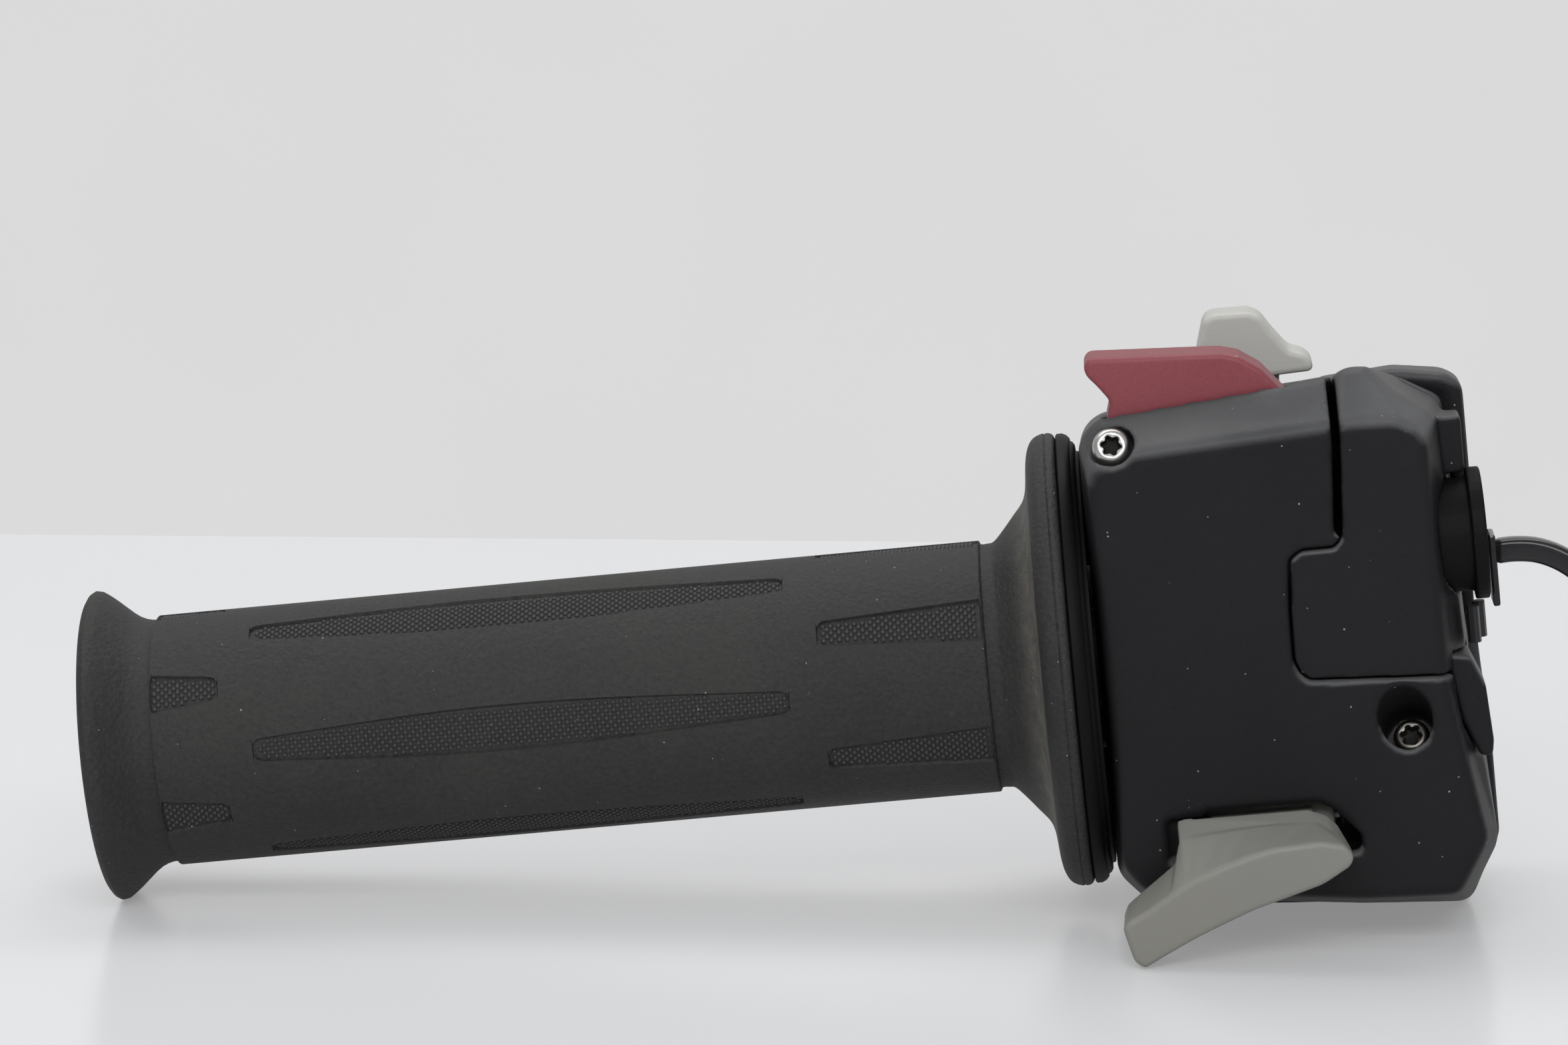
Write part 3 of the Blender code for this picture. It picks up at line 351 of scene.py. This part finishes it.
def closed_mesh(form, name, edge_angle):
    """Turn a closed form's faces outwards and shade it smooth up to the given edge angle."""
    bmesh.ops.recalc_face_normals(form, faces=form.faces)
    mesh = bpy.data.meshes.new(name)
    form.to_mesh(mesh)
    form.free()
    mesh.shade_smooth()
    mesh.set_sharp_from_angle(angle=math.radians(edge_angle))
    return mesh


def band_mesh(name, line, width, thickness, corner):
    """A band with rounded edges swept along a line, closed and a little tapered at its tip."""
    half_w, half_t = width / 2 - corner, thickness / 2 - corner
    section = []
    for quarter, (side_w, side_t) in enumerate(((1, 1), (-1, 1), (-1, -1), (1, -1))):
        for step in range(4):
            turn = math.radians(90 * quarter + 30 * step)
            section.append((side_w * half_w + corner * math.cos(turn),
                            side_t * half_t + corner * math.sin(turn)))
    form = bmesh.new()
    rings = []
    for index, point in enumerate(line):
        run = (line[min(index + 1, len(line) - 1)] - line[max(index - 1, 0)]).normalized()
        across = (Vector((0, 1, 0)) - run * run.y).normalized()
        out = run.cross(across)
        full = 0.8 if index in (0, len(line) - 1) else 1.0
        rings.append([form.verts.new((point + across * a * full + out * b * full) * MM) for a, b in section])
    join_rings(form, rings)
    form.faces.new(rings[0])
    form.faces.new(rings[-1])
    return closed_mesh(form, name, 50)


tail_line = smooth_line([Vector(point) for point in tail_route], 4)
tail = new_piece("tie_tail", band_mesh("tie_tail", tail_line, band_width, band_thickness, band_corner),
                 "housing", strap_plastic)
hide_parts("tie_strap")

# ---------------------------------------------------------------------------------------
# Rubber sleeve. One moulding: a flared rim, the handle with six long and twelve short
# sunken panels, and the stop flange. It is pushed over the turning tube.
# ---------------------------------------------------------------------------------------
rubber = finish("grip_rubber", (0.0165, 0.0165, 0.017), 0.66, specular=0.3, worn_colour=(0.06, 0.056, 0.048),
                wear=0.3, dust=0.8, dust_cells=760.0, grain_cells=1500.0, grain_height=0.00032)
# A lighter copy of the grip rubber for the studs: painted light, so their tops read lighter against the
# shaded panel floors between them.
lit_stud_rubber = finish("lit_stud_rubber", (0.032, 0.032, 0.033), 0.55, specular=0.35,
                      worn_colour=(0.05, 0.047, 0.042), wear=0.2, dust=0.5, dust_cells=500.0,
                      grain_cells=3000.0, grain_height=0.00003)
rim_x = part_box("grip_rubber")[0][0] / MM
ring_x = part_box("flange_ring")[0][0] / MM
ring_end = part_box("flange_ring")[1][0] / MM
ring_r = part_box("flange_ring")[1][2] / MM
handle_r = 18.0
panel_depth = 0.45
panel_floor = handle_r - panel_depth
first_panel = 3.0
long_ends = (24.2, 100.2)
short_ends = (19.6, 105.0)
rim_panel_start, rim_panel_length = 10.2, 9.4
flange_panel_end, flange_panel_length = 128.0, 23.0


def bar_point(along, radius, turn):
    """A point round the bar, its turn measured upwards from the side with the screws."""
    return (along * MM, -radius * math.cos(turn) * MM, radius * math.sin(turn) * MM)


def long_panel(along):
    """Half width, in degrees, of a long panel at a distance along the sleeve from its rim."""
    start, end = long_ends
    widest = 60.0
    if not start <= along <= end:
        return 0.0
    share = (along - start) / (widest - start) if along < widest else (end - along) / (end - widest)
    return 5.0 + 5.4 * math.sin(share * math.pi / 2) ** 1.2


def short_panel(along):
    """Half width of the short panels, which open towards the rim and the flange."""
    if rim_panel_start <= along <= short_ends[0]:
        return 9.0 - 3.6 * (along - rim_panel_start) / rim_panel_length
    if short_ends[1] <= along <= flange_panel_end:
        return 5.6 + 4.4 * (along - short_ends[1]) / flange_panel_length
    return 0.0


def round_end(width, along, ends, radius=1.5):
    """Pull a panel's sides in towards a blunt rounded end."""
    for end in ends:
        gap = abs(along - end)
        if gap < radius:
            width *= 0.45 + 0.55 * math.sqrt(max(0.0, 1 - (1 - gap / radius) ** 2))
    return width


def sleeve_profile():
    """(distance from the rim, radius) of the rim and of the collar up to the flange's lip."""
    rim = [(0.0, 20.6), (0.15, 21.4), (0.55, 22.0), (1.1, 22.3), (1.8, 22.15), (2.6, 21.6), (3.6, 20.8),
           (4.8, 19.75), (5.9, 18.8), (6.9, 18.1), (7.8, 17.7), (8.6, 17.5), (9.5, 17.42), (9.9, 17.45)]
    slope = [(129.4, 17.45), (130.4, 17.65), (131.9, 19.2), (133.5, 21.1), (134.9, 22.8), (135.5, 24.4),
             (135.8, 26.6), (136.0, 28.7), (136.4, 30.4), (137.1, 31.6), (138.1, 32.2), (139.2, 32.4),
             (140.0, 32.2), (140.35, 31.7), (140.45, 31.2)]
    curve = smooth_line([Vector((along, radius, 0)) for along, radius in slope], 3)
    collar = [(128.3, handle_r - 0.1), (128.5, 17.45), (128.95, 17.4)]
    seam = 139.0
    collar += [(point.x, point.y) for point in curve if abs(point.x - seam) > 0.25]
    collar += [(seam - 0.2, 32.38), (seam, 32.24), (seam + 0.2, 32.38)]
    return rim, sorted(collar)


def panel_columns(long_half, short_half):
    """Angles from one long panel's middle to the next short panel's, in step with their edges."""
    edge = 0.75
    near = [0.0, 0.35, 0.7, 0.95]
    left = [long_half * share for share in near] + [long_half + edge * 0.35, long_half + edge]
    right = [30.0 - short_half - edge, 30.0 - short_half - edge * 0.35]
    right += [30.0 - short_half * share for share in reversed(near)]
    between = [left[-1] + (right[0] - left[-1]) * k / 4 for k in range(1, 4)]
    return left + between + right


def sleeve_mesh():
    """Rings of points from the rim to the flange's lip, then back through the bore."""
    rim, collar = sleeve_profile()
    handle_end = 128.15
    stations = [(along, radius, False) for along, radius in rim]
    # The handle's rings stand a millimetre apart, and closer at the ends of the panels.
    marks = {10.0, 10.2, 10.5, 19.0, 19.3, 19.6, 19.75, 24.05, 24.2, 24.5, 24.9, 100.2, 100.35, 99.9, 99.5,
             104.85, 105.0, 105.3, 105.7, 127.6, 128.0, handle_end}
    marks |= {10.0 + 1.0 * k for k in range(119)}
    stations += [(along, handle_r, True) for along in sorted(marks) if along <= handle_end]
    stations += [(along, radius, False) for along, radius in collar]
    form = bmesh.new()
    rings = []
    for along, radius, patterned in stations:
        long_half = round_end(long_panel(along), along, long_ends)
        short_half = round_end(short_panel(along), along, short_ends, 1.1)
        quarter = panel_columns(long_half or 5.0, short_half or 5.6)
        ring = []
        for sector in range(6):
            for angle in quarter + [60 - angle for angle in reversed(quarter[1:-1])]:
                off_long = min(angle, 60 - angle)
                off_short = abs(angle - 30)
                sunk = 0.0
                if patterned and long_half and off_long <= long_half + 0.01:
                    sunk = panel_depth
                if patterned and short_half and off_short <= short_half + 0.01:
                    sunk = panel_depth
                turn = math.radians(first_panel + 60 * sector + angle)
                ring.append(form.verts.new(bar_point(rim_x + along, radius - sunk, turn)))
        rings.append(ring)
    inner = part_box("throttle_tube")[1][2] / MM + 0.3
    recess = ring_r + 0.3
    for along, radius in ((ring_x + 0.42, recess), (ring_x - 0.3, recess), (ring_x - 0.3, inner),
                          (rim_x + 1.5, inner), (rim_x + 1.5, inner - 1.0), (rim_x, inner - 1.0)):
        ring = []
        for vert in rings[0]:
            turn = math.atan2(vert.co.z, -vert.co.y)
            ring.append(form.verts.new(bar_point(along, radius, turn)))
        rings.append(ring)
    join_rings(form, rings + rings[:1])
    return closed_mesh(form, "sleeve", 38)


sleeve = new_piece("sleeve", sleeve_mesh(), "throttle", rubber)
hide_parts("grip_rubber")


def stud_tree():
    """Geometry nodes: a small rubber stud on every point, standing along the point's normal."""
    tree = bpy.data.node_groups.new("panel_studs", "GeometryNodeTree")
    tree.interface.new_socket("Geometry", in_out="INPUT", socket_type="NodeSocketGeometry")
    for label, value in (("Stud Radius", 0.36 * MM), ("Stud Height", 0.28 * MM)):
        socket = tree.interface.new_socket(label, in_out="INPUT", socket_type="NodeSocketFloat")
        socket.default_value = value
    finish_socket = tree.interface.new_socket("Finish", in_out="INPUT", socket_type="NodeSocketMaterial")
    finish_socket.default_value = lit_stud_rubber
    tree.interface.new_socket("Geometry", in_out="OUTPUT", socket_type="NodeSocketGeometry")
    given = tree.nodes.new("NodeGroupInput")
    result = tree.nodes.new("NodeGroupOutput")
    ball = tree.nodes.new("GeometryNodeMeshUVSphere")
    ball.inputs["Segments"].default_value = 8
    ball.inputs["Rings"].default_value = 4
    ball.inputs["Radius"].default_value = 1.0
    shape = tree.nodes.new("ShaderNodeCombineXYZ")
    spread = tree.nodes.new("GeometryNodeInstanceOnPoints")
    normal = tree.nodes.new("GeometryNodeInputNamedAttribute")
    normal.data_type = "FLOAT_VECTOR"
    normal.inputs["Name"].default_value = "stud_normal"
    align = tree.nodes.new("FunctionNodeAlignRotationToVector")
    align.axis = "Z"
    real = tree.nodes.new("GeometryNodeRealizeInstances")
    paint = tree.nodes.new("GeometryNodeSetMaterial")
    smooth = tree.nodes.new("GeometryNodeSetShadeSmooth")
    link = tree.links.new
    link(given.outputs["Geometry"], spread.inputs["Points"])
    link(ball.outputs["Mesh"], spread.inputs["Instance"])
    link(normal.outputs["Attribute"], align.inputs["Vector"])
    link(align.outputs["Rotation"], spread.inputs["Rotation"])
    for axis in ("X", "Y"):
        link(given.outputs["Stud Radius"], shape.inputs[axis])
    link(given.outputs["Stud Height"], shape.inputs["Z"])
    link(shape.outputs["Vector"], spread.inputs["Scale"])
    link(spread.outputs["Instances"], real.inputs["Geometry"])
    link(real.outputs["Geometry"], smooth.inputs["Geometry"])
    link(smooth.outputs["Geometry"], paint.inputs["Geometry"])
    link(given.outputs["Finish"], paint.inputs["Material"])
    link(paint.outputs["Geometry"], result.inputs["Geometry"])
    return tree


def stud_points():
    """(distance from the rim, turn) of the studs: a diamond grid on the panels' floors."""
    pitch = 1.12
    first_row, last_row, rows_length = 10.6, 127.6, 118
    margin = 1.5
    degree = math.degrees(pitch / 2 / panel_floor)
    places = []
    for half_step in range(int(rows_length / (pitch / 2))):
        along = first_row + half_step * pitch / 2
        for sector in range(12):
            width = long_panel(along) if sector % 2 == 0 else short_panel(along)
            ends = long_ends if sector % 2 == 0 else short_ends
            if not width or min(abs(along - end) for end in ends) < 0.5 or along > last_row:
                continue
            width = round_end(width, along, ends, 1.3) - margin
            first = half_step % 2
            reach = int(width / degree)
            for step in range(-reach, reach + 1):
                if (step + first) % 2 == 0:
                    turn = math.radians(first_panel + 30 * sector + step * degree)
                    places.append((along, turn))
    return places


studs_mesh = bpy.data.meshes.new("panel_studs")
stud_places = stud_points()
studs_mesh.from_pydata([bar_point(rim_x + along, panel_floor, turn) for along, turn in stud_places], [], [])
normals = studs_mesh.attributes.new("stud_normal", "FLOAT_VECTOR", "POINT")
for entry, (_, turn) in zip(normals.data, stud_places):
    entry.vector = (0.0, -math.cos(turn), math.sin(turn))
seeds = bpy.data.objects.new("stud_seeds", studs_mesh)
bpy.context.scene.collection.objects.link(seeds)
maker = seeds.modifiers.new("studs", "NODES")
maker.node_group = stud_tree()
bpy.context.view_layer.update()
seen = seeds.evaluated_get(bpy.context.evaluated_depsgraph_get())
made = bpy.data.meshes.new_from_object(seen)
seeds.modifiers.clear()
bpy.data.objects.remove(seeds, do_unlink=True)
new_piece("panel_studs", made, "throttle", lit_stud_rubber)

# Wear on the collar: its slope is rubbed pale and brown where the thumb and dust catch it.
rubber_tree = rubber.node_tree
rubber_place = rubber_tree.nodes.new("ShaderNodeTexCoord")
rubber_axes = rubber_tree.nodes.new("ShaderNodeSeparateXYZ")
rubber_patch = rubber_tree.nodes.new("ShaderNodeTexNoise")
rubber_patch.inputs["Scale"].default_value = 420.0
rubber_patch.inputs["Detail"].default_value = 5.0
rubber_band = rubber_tree.nodes.new("ShaderNodeFloatCurve")
band_curve = rubber_band.mapping.curves[0]
band_curve.points[0].location = (0.0, 0.0)
band_curve.points[1].location = (1.0, 0.0)
for spot, amount in ((0.06, 1.0), (0.3, 0.55), (0.52, 0.15), (0.7, 0.0)):
    band_curve.points.new(spot, amount)
rubber_band.mapping.update()
rubber_reach = rubber_tree.nodes.new("ShaderNodeMapRange")
ridge_x, slope_foot_x = -7.8, -13.6
rubber_reach.inputs["From Min"].default_value = ridge_x * MM
rubber_reach.inputs["From Max"].default_value = slope_foot_x * MM
rubber_amount = rubber_tree.nodes.new("ShaderNodeMath")
rubber_amount.operation = "MULTIPLY"
rubber_mix = rubber_tree.nodes.new("ShaderNodeMix")
rubber_mix.data_type = "RGBA"
rubber_mix.inputs[7].default_value = (0.165, 0.157, 0.135, 1)
rubber_group = next(node for node in rubber_tree.nodes if node.type == "GROUP")
for start, end in (
        (rubber_place.outputs["Object"], rubber_axes.inputs[0]),
        (rubber_place.outputs["Object"], rubber_patch.inputs["Vector"]),
        (rubber_axes.outputs["X"], rubber_reach.inputs["Value"]),
        (rubber_reach.outputs["Result"], rubber_band.inputs["Value"]),
        (rubber_band.outputs["Value"], rubber_amount.inputs[0]),
        (rubber_patch.outputs["Fac"], rubber_amount.inputs[1]),
        (rubber_amount.outputs[0], rubber_mix.inputs["Factor"]),
        (rubber_group.outputs["Colour"], rubber_mix.inputs[6]),
        (rubber_mix.outputs[2], rubber_tree.nodes["Principled BSDF"].inputs["Base Color"])):
    rubber_tree.links.new(start, end)

# ---------------------------------------------------------------------------------------
# Turning tube, its flange ring and the cable drum: smooth black nylon. The ring sits in the
# sleeve's hollow flange and steps out behind its lip; the drum, at the tube's inner end,
# winds the throttle cable.
# ---------------------------------------------------------------------------------------
black = finish("black_nylon", (0.007, 0.007, 0.0075), 0.45, specular=0.22, wear=0.1, dust=0.35,
               worn_colour=(0.02, 0.02, 0.02), grain_cells=2600.0, grain_height=0.00001)
# A darker copy of the black nylon: painted shade for the stepped ring in the flange's gap and for the
# outlet's stub.
shaded_black = finish("shaded_black_nylon", (0.004, 0.004, 0.0045), 0.55, specular=0.08, wear=0.2, dust=0.5,
                    worn_colour=(0.012, 0.012, 0.012), grain_cells=2600.0, grain_height=0.00001)
for name in ("throttle_tube", "cable_drum"):
    wear_finish(nodes[name], black)
ring_profile = [(ring_x, ring_r - 0.1), (ring_x + 0.5, ring_r), (ring_x + 0.55, 31.9), (ring_x + 0.75, 32.15),
                (ring_x + 1.5, 32.15), (ring_x + 2.1, 31.85), (ring_x + 2.5, 31.4), (ring_x + 2.52, 31.0),
                (ring_x + 2.9, 30.8), (ring_end - 0.05, 30.4), (ring_end, 29.5), (ring_end + 0.45, 29.4),
                (ring_end + 0.5, 29.2), (ring_end + 0.5, 27.0), (ring_end - 0.5, 26.6),
                (ring_end - 0.5, 14.2), (ring_end, 13.9), (ring_end, 13.15), (ring_x, 13.15)]
form = bmesh.new()
sides = 144
hoops = [[form.verts.new(bar_point(along, radius, math.tau * k / sides)) for k in range(sides)]
         for along, radius in ring_profile]
join_rings(form, hoops + hoops[:1])
ring = new_piece("stepped_ring", closed_mesh(form, "stepped_ring", 40), "throttle", shaded_black)
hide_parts("flange_ring")

# ---------------------------------------------------------------------------------------
# Front shell of the housing. Glass filled nylon, moulded with soft corners and a fine spark
# texture; it carries the rocker above and the turn paddle below.
# ---------------------------------------------------------------------------------------
# Its upward faces take the full lighter veil: partly settled dust, partly a painted highlight for the
# overhead light on the top band.
casing = finish("casing_plastic", (0.0085, 0.0085, 0.0095), 0.46, specular=0.15,
                worn_colour=(0.014, 0.014, 0.015), wear=0.35, dust=0.8, dust_cells=640.0,
                settled_dust=0.8, grain_cells=2600.0, grain_height=0.00007)


def eased_copy(source, body, material, cell, rounds, share, added=()):
    """Stand a copy of a node in for it: skinned in small cells, its edges smoothed, then thinned.

    added holds boxes, as (low corner, high corner), that the skin makes one with the copy.
    """
    form = bmesh.new()
    form.from_mesh(nodes[source].data)
    bmesh.ops.remove_doubles(form, verts=form.verts, dist=0.001 * MM)
    for low, high in added:
        middle = (Vector(low) + Vector(high)) / 2 * MM
        size = (Vector(high) - Vector(low)) * MM
        bmesh.ops.create_cube(form, size=1.0, matrix=Matrix.Translation(middle) @ Matrix.Diagonal((*size, 1)))
    mesh = bpy.data.meshes.new(source + "_eased")
    form.to_mesh(mesh)
    form.free()
    block = bpy.data.objects.new(source + "_block", mesh)
    bpy.context.scene.collection.objects.link(block)
    skin = block.modifiers.new("skin", "REMESH")
    skin.mode = "VOXEL"
    skin.voxel_size = cell * MM
    ease = block.modifiers.new("ease", "SMOOTH")
    ease.factor = 0.5
    ease.iterations = rounds
    thin = block.modifiers.new("thin", "DECIMATE")
    thin.ratio = share
    bpy.context.view_layer.update()
    shape = bpy.data.meshes.new_from_object(block.evaluated_get(bpy.context.evaluated_depsgraph_get()))
    bpy.data.objects.remove(block, do_unlink=True)
    shape.shade_smooth()
    piece = new_piece(source + "_skin", shape, body, material)
    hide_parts(source)


eased_copy("front_shell", "housing", casing, 0.42, 9, 0.5)

# ---------------------------------------------------------------------------------------
# Rear shell: the other half of the housing, in the same nylon, with an arched back and a
# ledge inside its upper corner that the cover closes against.
# ---------------------------------------------------------------------------------------
upper_ledge = ((40.0, -3.5, 22.5), (52.7, 2.0, 35.6))
eased_copy("rear_shell", "housing", casing, 0.45, 9, 0.45, added=[upper_ledge])

# ---------------------------------------------------------------------------------------
# Cable cover: a separate moulding that clips over the cable's entry at the inboard end.
# ---------------------------------------------------------------------------------------
eased_copy("cable_cover", "housing", casing, 0.36, 9, 0.5)

# ---------------------------------------------------------------------------------------
# Two M3 screws with domed heads and six-lobed drives join the shells: the upper one is
# bright, the lower one sits dull and greasy in a deep mouth, and both drives are painted near black as shade.
# Each is turned in one piece.
# ---------------------------------------------------------------------------------------
bright_steel = finish("bright_steel", (0.47, 0.46, 0.44), 0.33, metallic=1.0, wear=0.25, dust=0.1,
                      worn_colour=(0.34, 0.33, 0.3), grain_cells=1800.0, grain_height=0.000006)
dull_steel = finish("dull_steel", (0.13, 0.12, 0.11), 0.38, metallic=1.0, wear=0.5, dust=0.2,
                    worn_colour=(0.07, 0.06, 0.045), grain_cells=1800.0, grain_height=0.00001)


def screw_mesh(name, head, run, head_radius):
    """Rings from the drive's floor out over the dome, down the shank and its thread to the tip."""
    sides = 72
    drive_rings = 4
    length, shank, root, pitch = 29.0, 1.45, 1.25, 0.5

    def lobed(angle, scale):
        return scale * (1.3 + 0.17 * math.cos(6 * angle))

    rings = [(1.35, lambda a: 0.02), (1.35, lambda a: lobed(a, 0.7)), (1.2, lambda a: lobed(a, 0.86)),
             (0.35, lambda a: lobed(a, 0.94)), (0.12, lambda a: lobed(a, 1.02)),
             (0.03, lambda a: max(lobed(a, 1.1), 1.5)),
             (0.0, lambda a: 1.75), (0.1, lambda a: 2.05), (0.32, lambda a: 2.35),
             (0.7, lambda a: head_radius - 0.12),
             (1.1, lambda a: head_radius - 0.02), (1.85, lambda a: head_radius - 0.02),
             (1.95, lambda a: head_radius - 0.15), (1.96, lambda a: shank)]
    depth = 12.0
    rings.append((depth, lambda a: shank))
    while depth < length - 1.6:
        rings += [(depth + 0.1, lambda a: root), (depth + pitch * 0.45, lambda a: shank),
                  (depth + pitch * 0.65, lambda a: shank)]
        depth += pitch
    rings += [(length - 0.9, lambda a: root), (length - 0.1, lambda a: 0.5), (length - 0.02, lambda a: 0.02)]
    across = run.orthogonal().normalized()
    other = run.cross(across)
    form = bmesh.new()
    built = []
    for down, reach in rings:
        circle = []
        for k in range(sides):
            angle = math.tau * k / sides
            out = across * math.cos(angle) + other * math.sin(angle)
            circle.append(form.verts.new((head + run * down + out * reach(angle)) * MM))
        built.append(circle)
    # The drive's faces take the second finish: painted shade in the recess.
    for face in join_rings(form, built)[:drive_rings * sides]:
        face.material_index = 1
    form.faces.new(built[0]).material_index = 1
    form.faces.new(built[-1])
    return closed_mesh(form, name, 42)


# Near-black stand-in for steel: painted shade inside the screws' drive recesses and on the return springs in
# their slots.
shade_dark_steel = finish("shade_dark_steel", (0.006, 0.006, 0.005), 0.7, specular=0.2, wear=0.5, dust=0.1,
                     worn_colour=(0.03, 0.028, 0.024), grain_cells=1800.0, grain_height=0.00002)
for tag, head, run, head_radius, steel in (
        ("upper", (4.6, -23.3, 34.0), (0.0, 1.0, -0.40), 2.7, bright_steel),
        ("lower", (42.4, -20.5, -11.0), (0.12, 0.81, -0.57), 2.6, dull_steel)):
    shape = screw_mesh("screw_" + tag, Vector(head), Vector(run).normalized(), head_radius)
    piece = new_piece("screw_" + tag, shape, "housing", steel)
    piece.data.materials.append(shade_dark_steel)
    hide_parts("shell_screw_" + tag)

# ---------------------------------------------------------------------------------------
# Split clamp ring of plain steel inside the housing's inboard end; it grips the bar.
# ---------------------------------------------------------------------------------------
wear_finish(nodes["bar_clamp"], dull_steel)

# ---------------------------------------------------------------------------------------
# Cable outlet: a black nylon elbow whose stub and end flange show beside the cover, and the
# guide inside that leads the cable on to the drum. The tie's head is clipped on the flange.
# ---------------------------------------------------------------------------------------
# The outlet wears the darker copy of the black nylon: painted shade.
eased_copy("cable_outlet", "housing", shaded_black, 0.22, 5, 0.5)
wear_finish(nodes["cable_guide"], black)

# ---------------------------------------------------------------------------------------
# Harness clip: a wedge of black nylon below the outlet that holds two leads with pvc covers.
# ---------------------------------------------------------------------------------------
lead_cover = finish("lead_cover", (0.01, 0.01, 0.011), 0.35, specular=0.4, wear=0.1, dust=0.3,
                    worn_colour=(0.03, 0.03, 0.03), grain_cells=900.0, grain_height=0.00001)
eased_copy("harness_clip", "housing", casing, 0.2, 8, 0.5)
for name in ("lead_front", "lead_rear"):
    wear_finish(nodes[name], lead_cover)

# ---------------------------------------------------------------------------------------
# Engine stop switch: a red nylon rocker on a steel pin above the front shell, and the black
# switch body under it.
# ---------------------------------------------------------------------------------------
red = finish("red_plastic", (0.205, 0.042, 0.052), 0.5, specular=0.3, worn_colour=(0.26, 0.085, 0.095),
             wear=0.3, dust=0.35, grain_cells=3000.0, grain_height=0.00004)
eased_copy("kill_lever", "kill_switch", red, 0.2, 12, 0.5)
wear_finish(nodes["kill_pivot_pin"], bright_steel)
wear_finish(nodes["kill_switch_body"], black)

# ---------------------------------------------------------------------------------------
# Turn paddle: grey nylon, slightly yellowed, hinged on a steel pin under the front shell;
# a coiled spring pushes it back off its switch body.
# ---------------------------------------------------------------------------------------
grey = finish("grey_plastic", (0.19, 0.187, 0.172), 0.5, specular=0.35, worn_colour=(0.22, 0.21, 0.165),
              wear=0.35, dust=0.2, grain_cells=3000.0, grain_height=0.00004)
eased_copy("turn_paddle", "turn_switch", grey, 0.25, 13, 0.6)

# ---------------------------------------------------------------------------------------
# Cancel paddle: the same grey nylon, in a lighter copy that paints the light falling on its front; a
# smaller fin behind the rocker on its own pin, spring and switch body.
# ---------------------------------------------------------------------------------------
# A lighter copy of the grey nylon: painted light on the cancel paddle's fin.
lit_grey = finish("lit_grey_plastic", (0.44, 0.435, 0.41), 0.5, specular=0.35, wear=0.35, dust=0.2,
                    worn_colour=(0.45, 0.43, 0.35), grain_cells=3000.0, grain_height=0.00004)
eased_copy("cancel_paddle", "cancel_switch", lit_grey, 0.2, 9, 0.5)
# The return springs wear the near-black steel: painted shade where they sit in the slots.
for name in ("turn", "cancel"):
    wear_finish(nodes[name + "_pivot_pin"], dull_steel)
    wear_finish(nodes[name + "_return_spring"], shade_dark_steel)
    wear_finish(nodes[name + "_switch_body"], black)
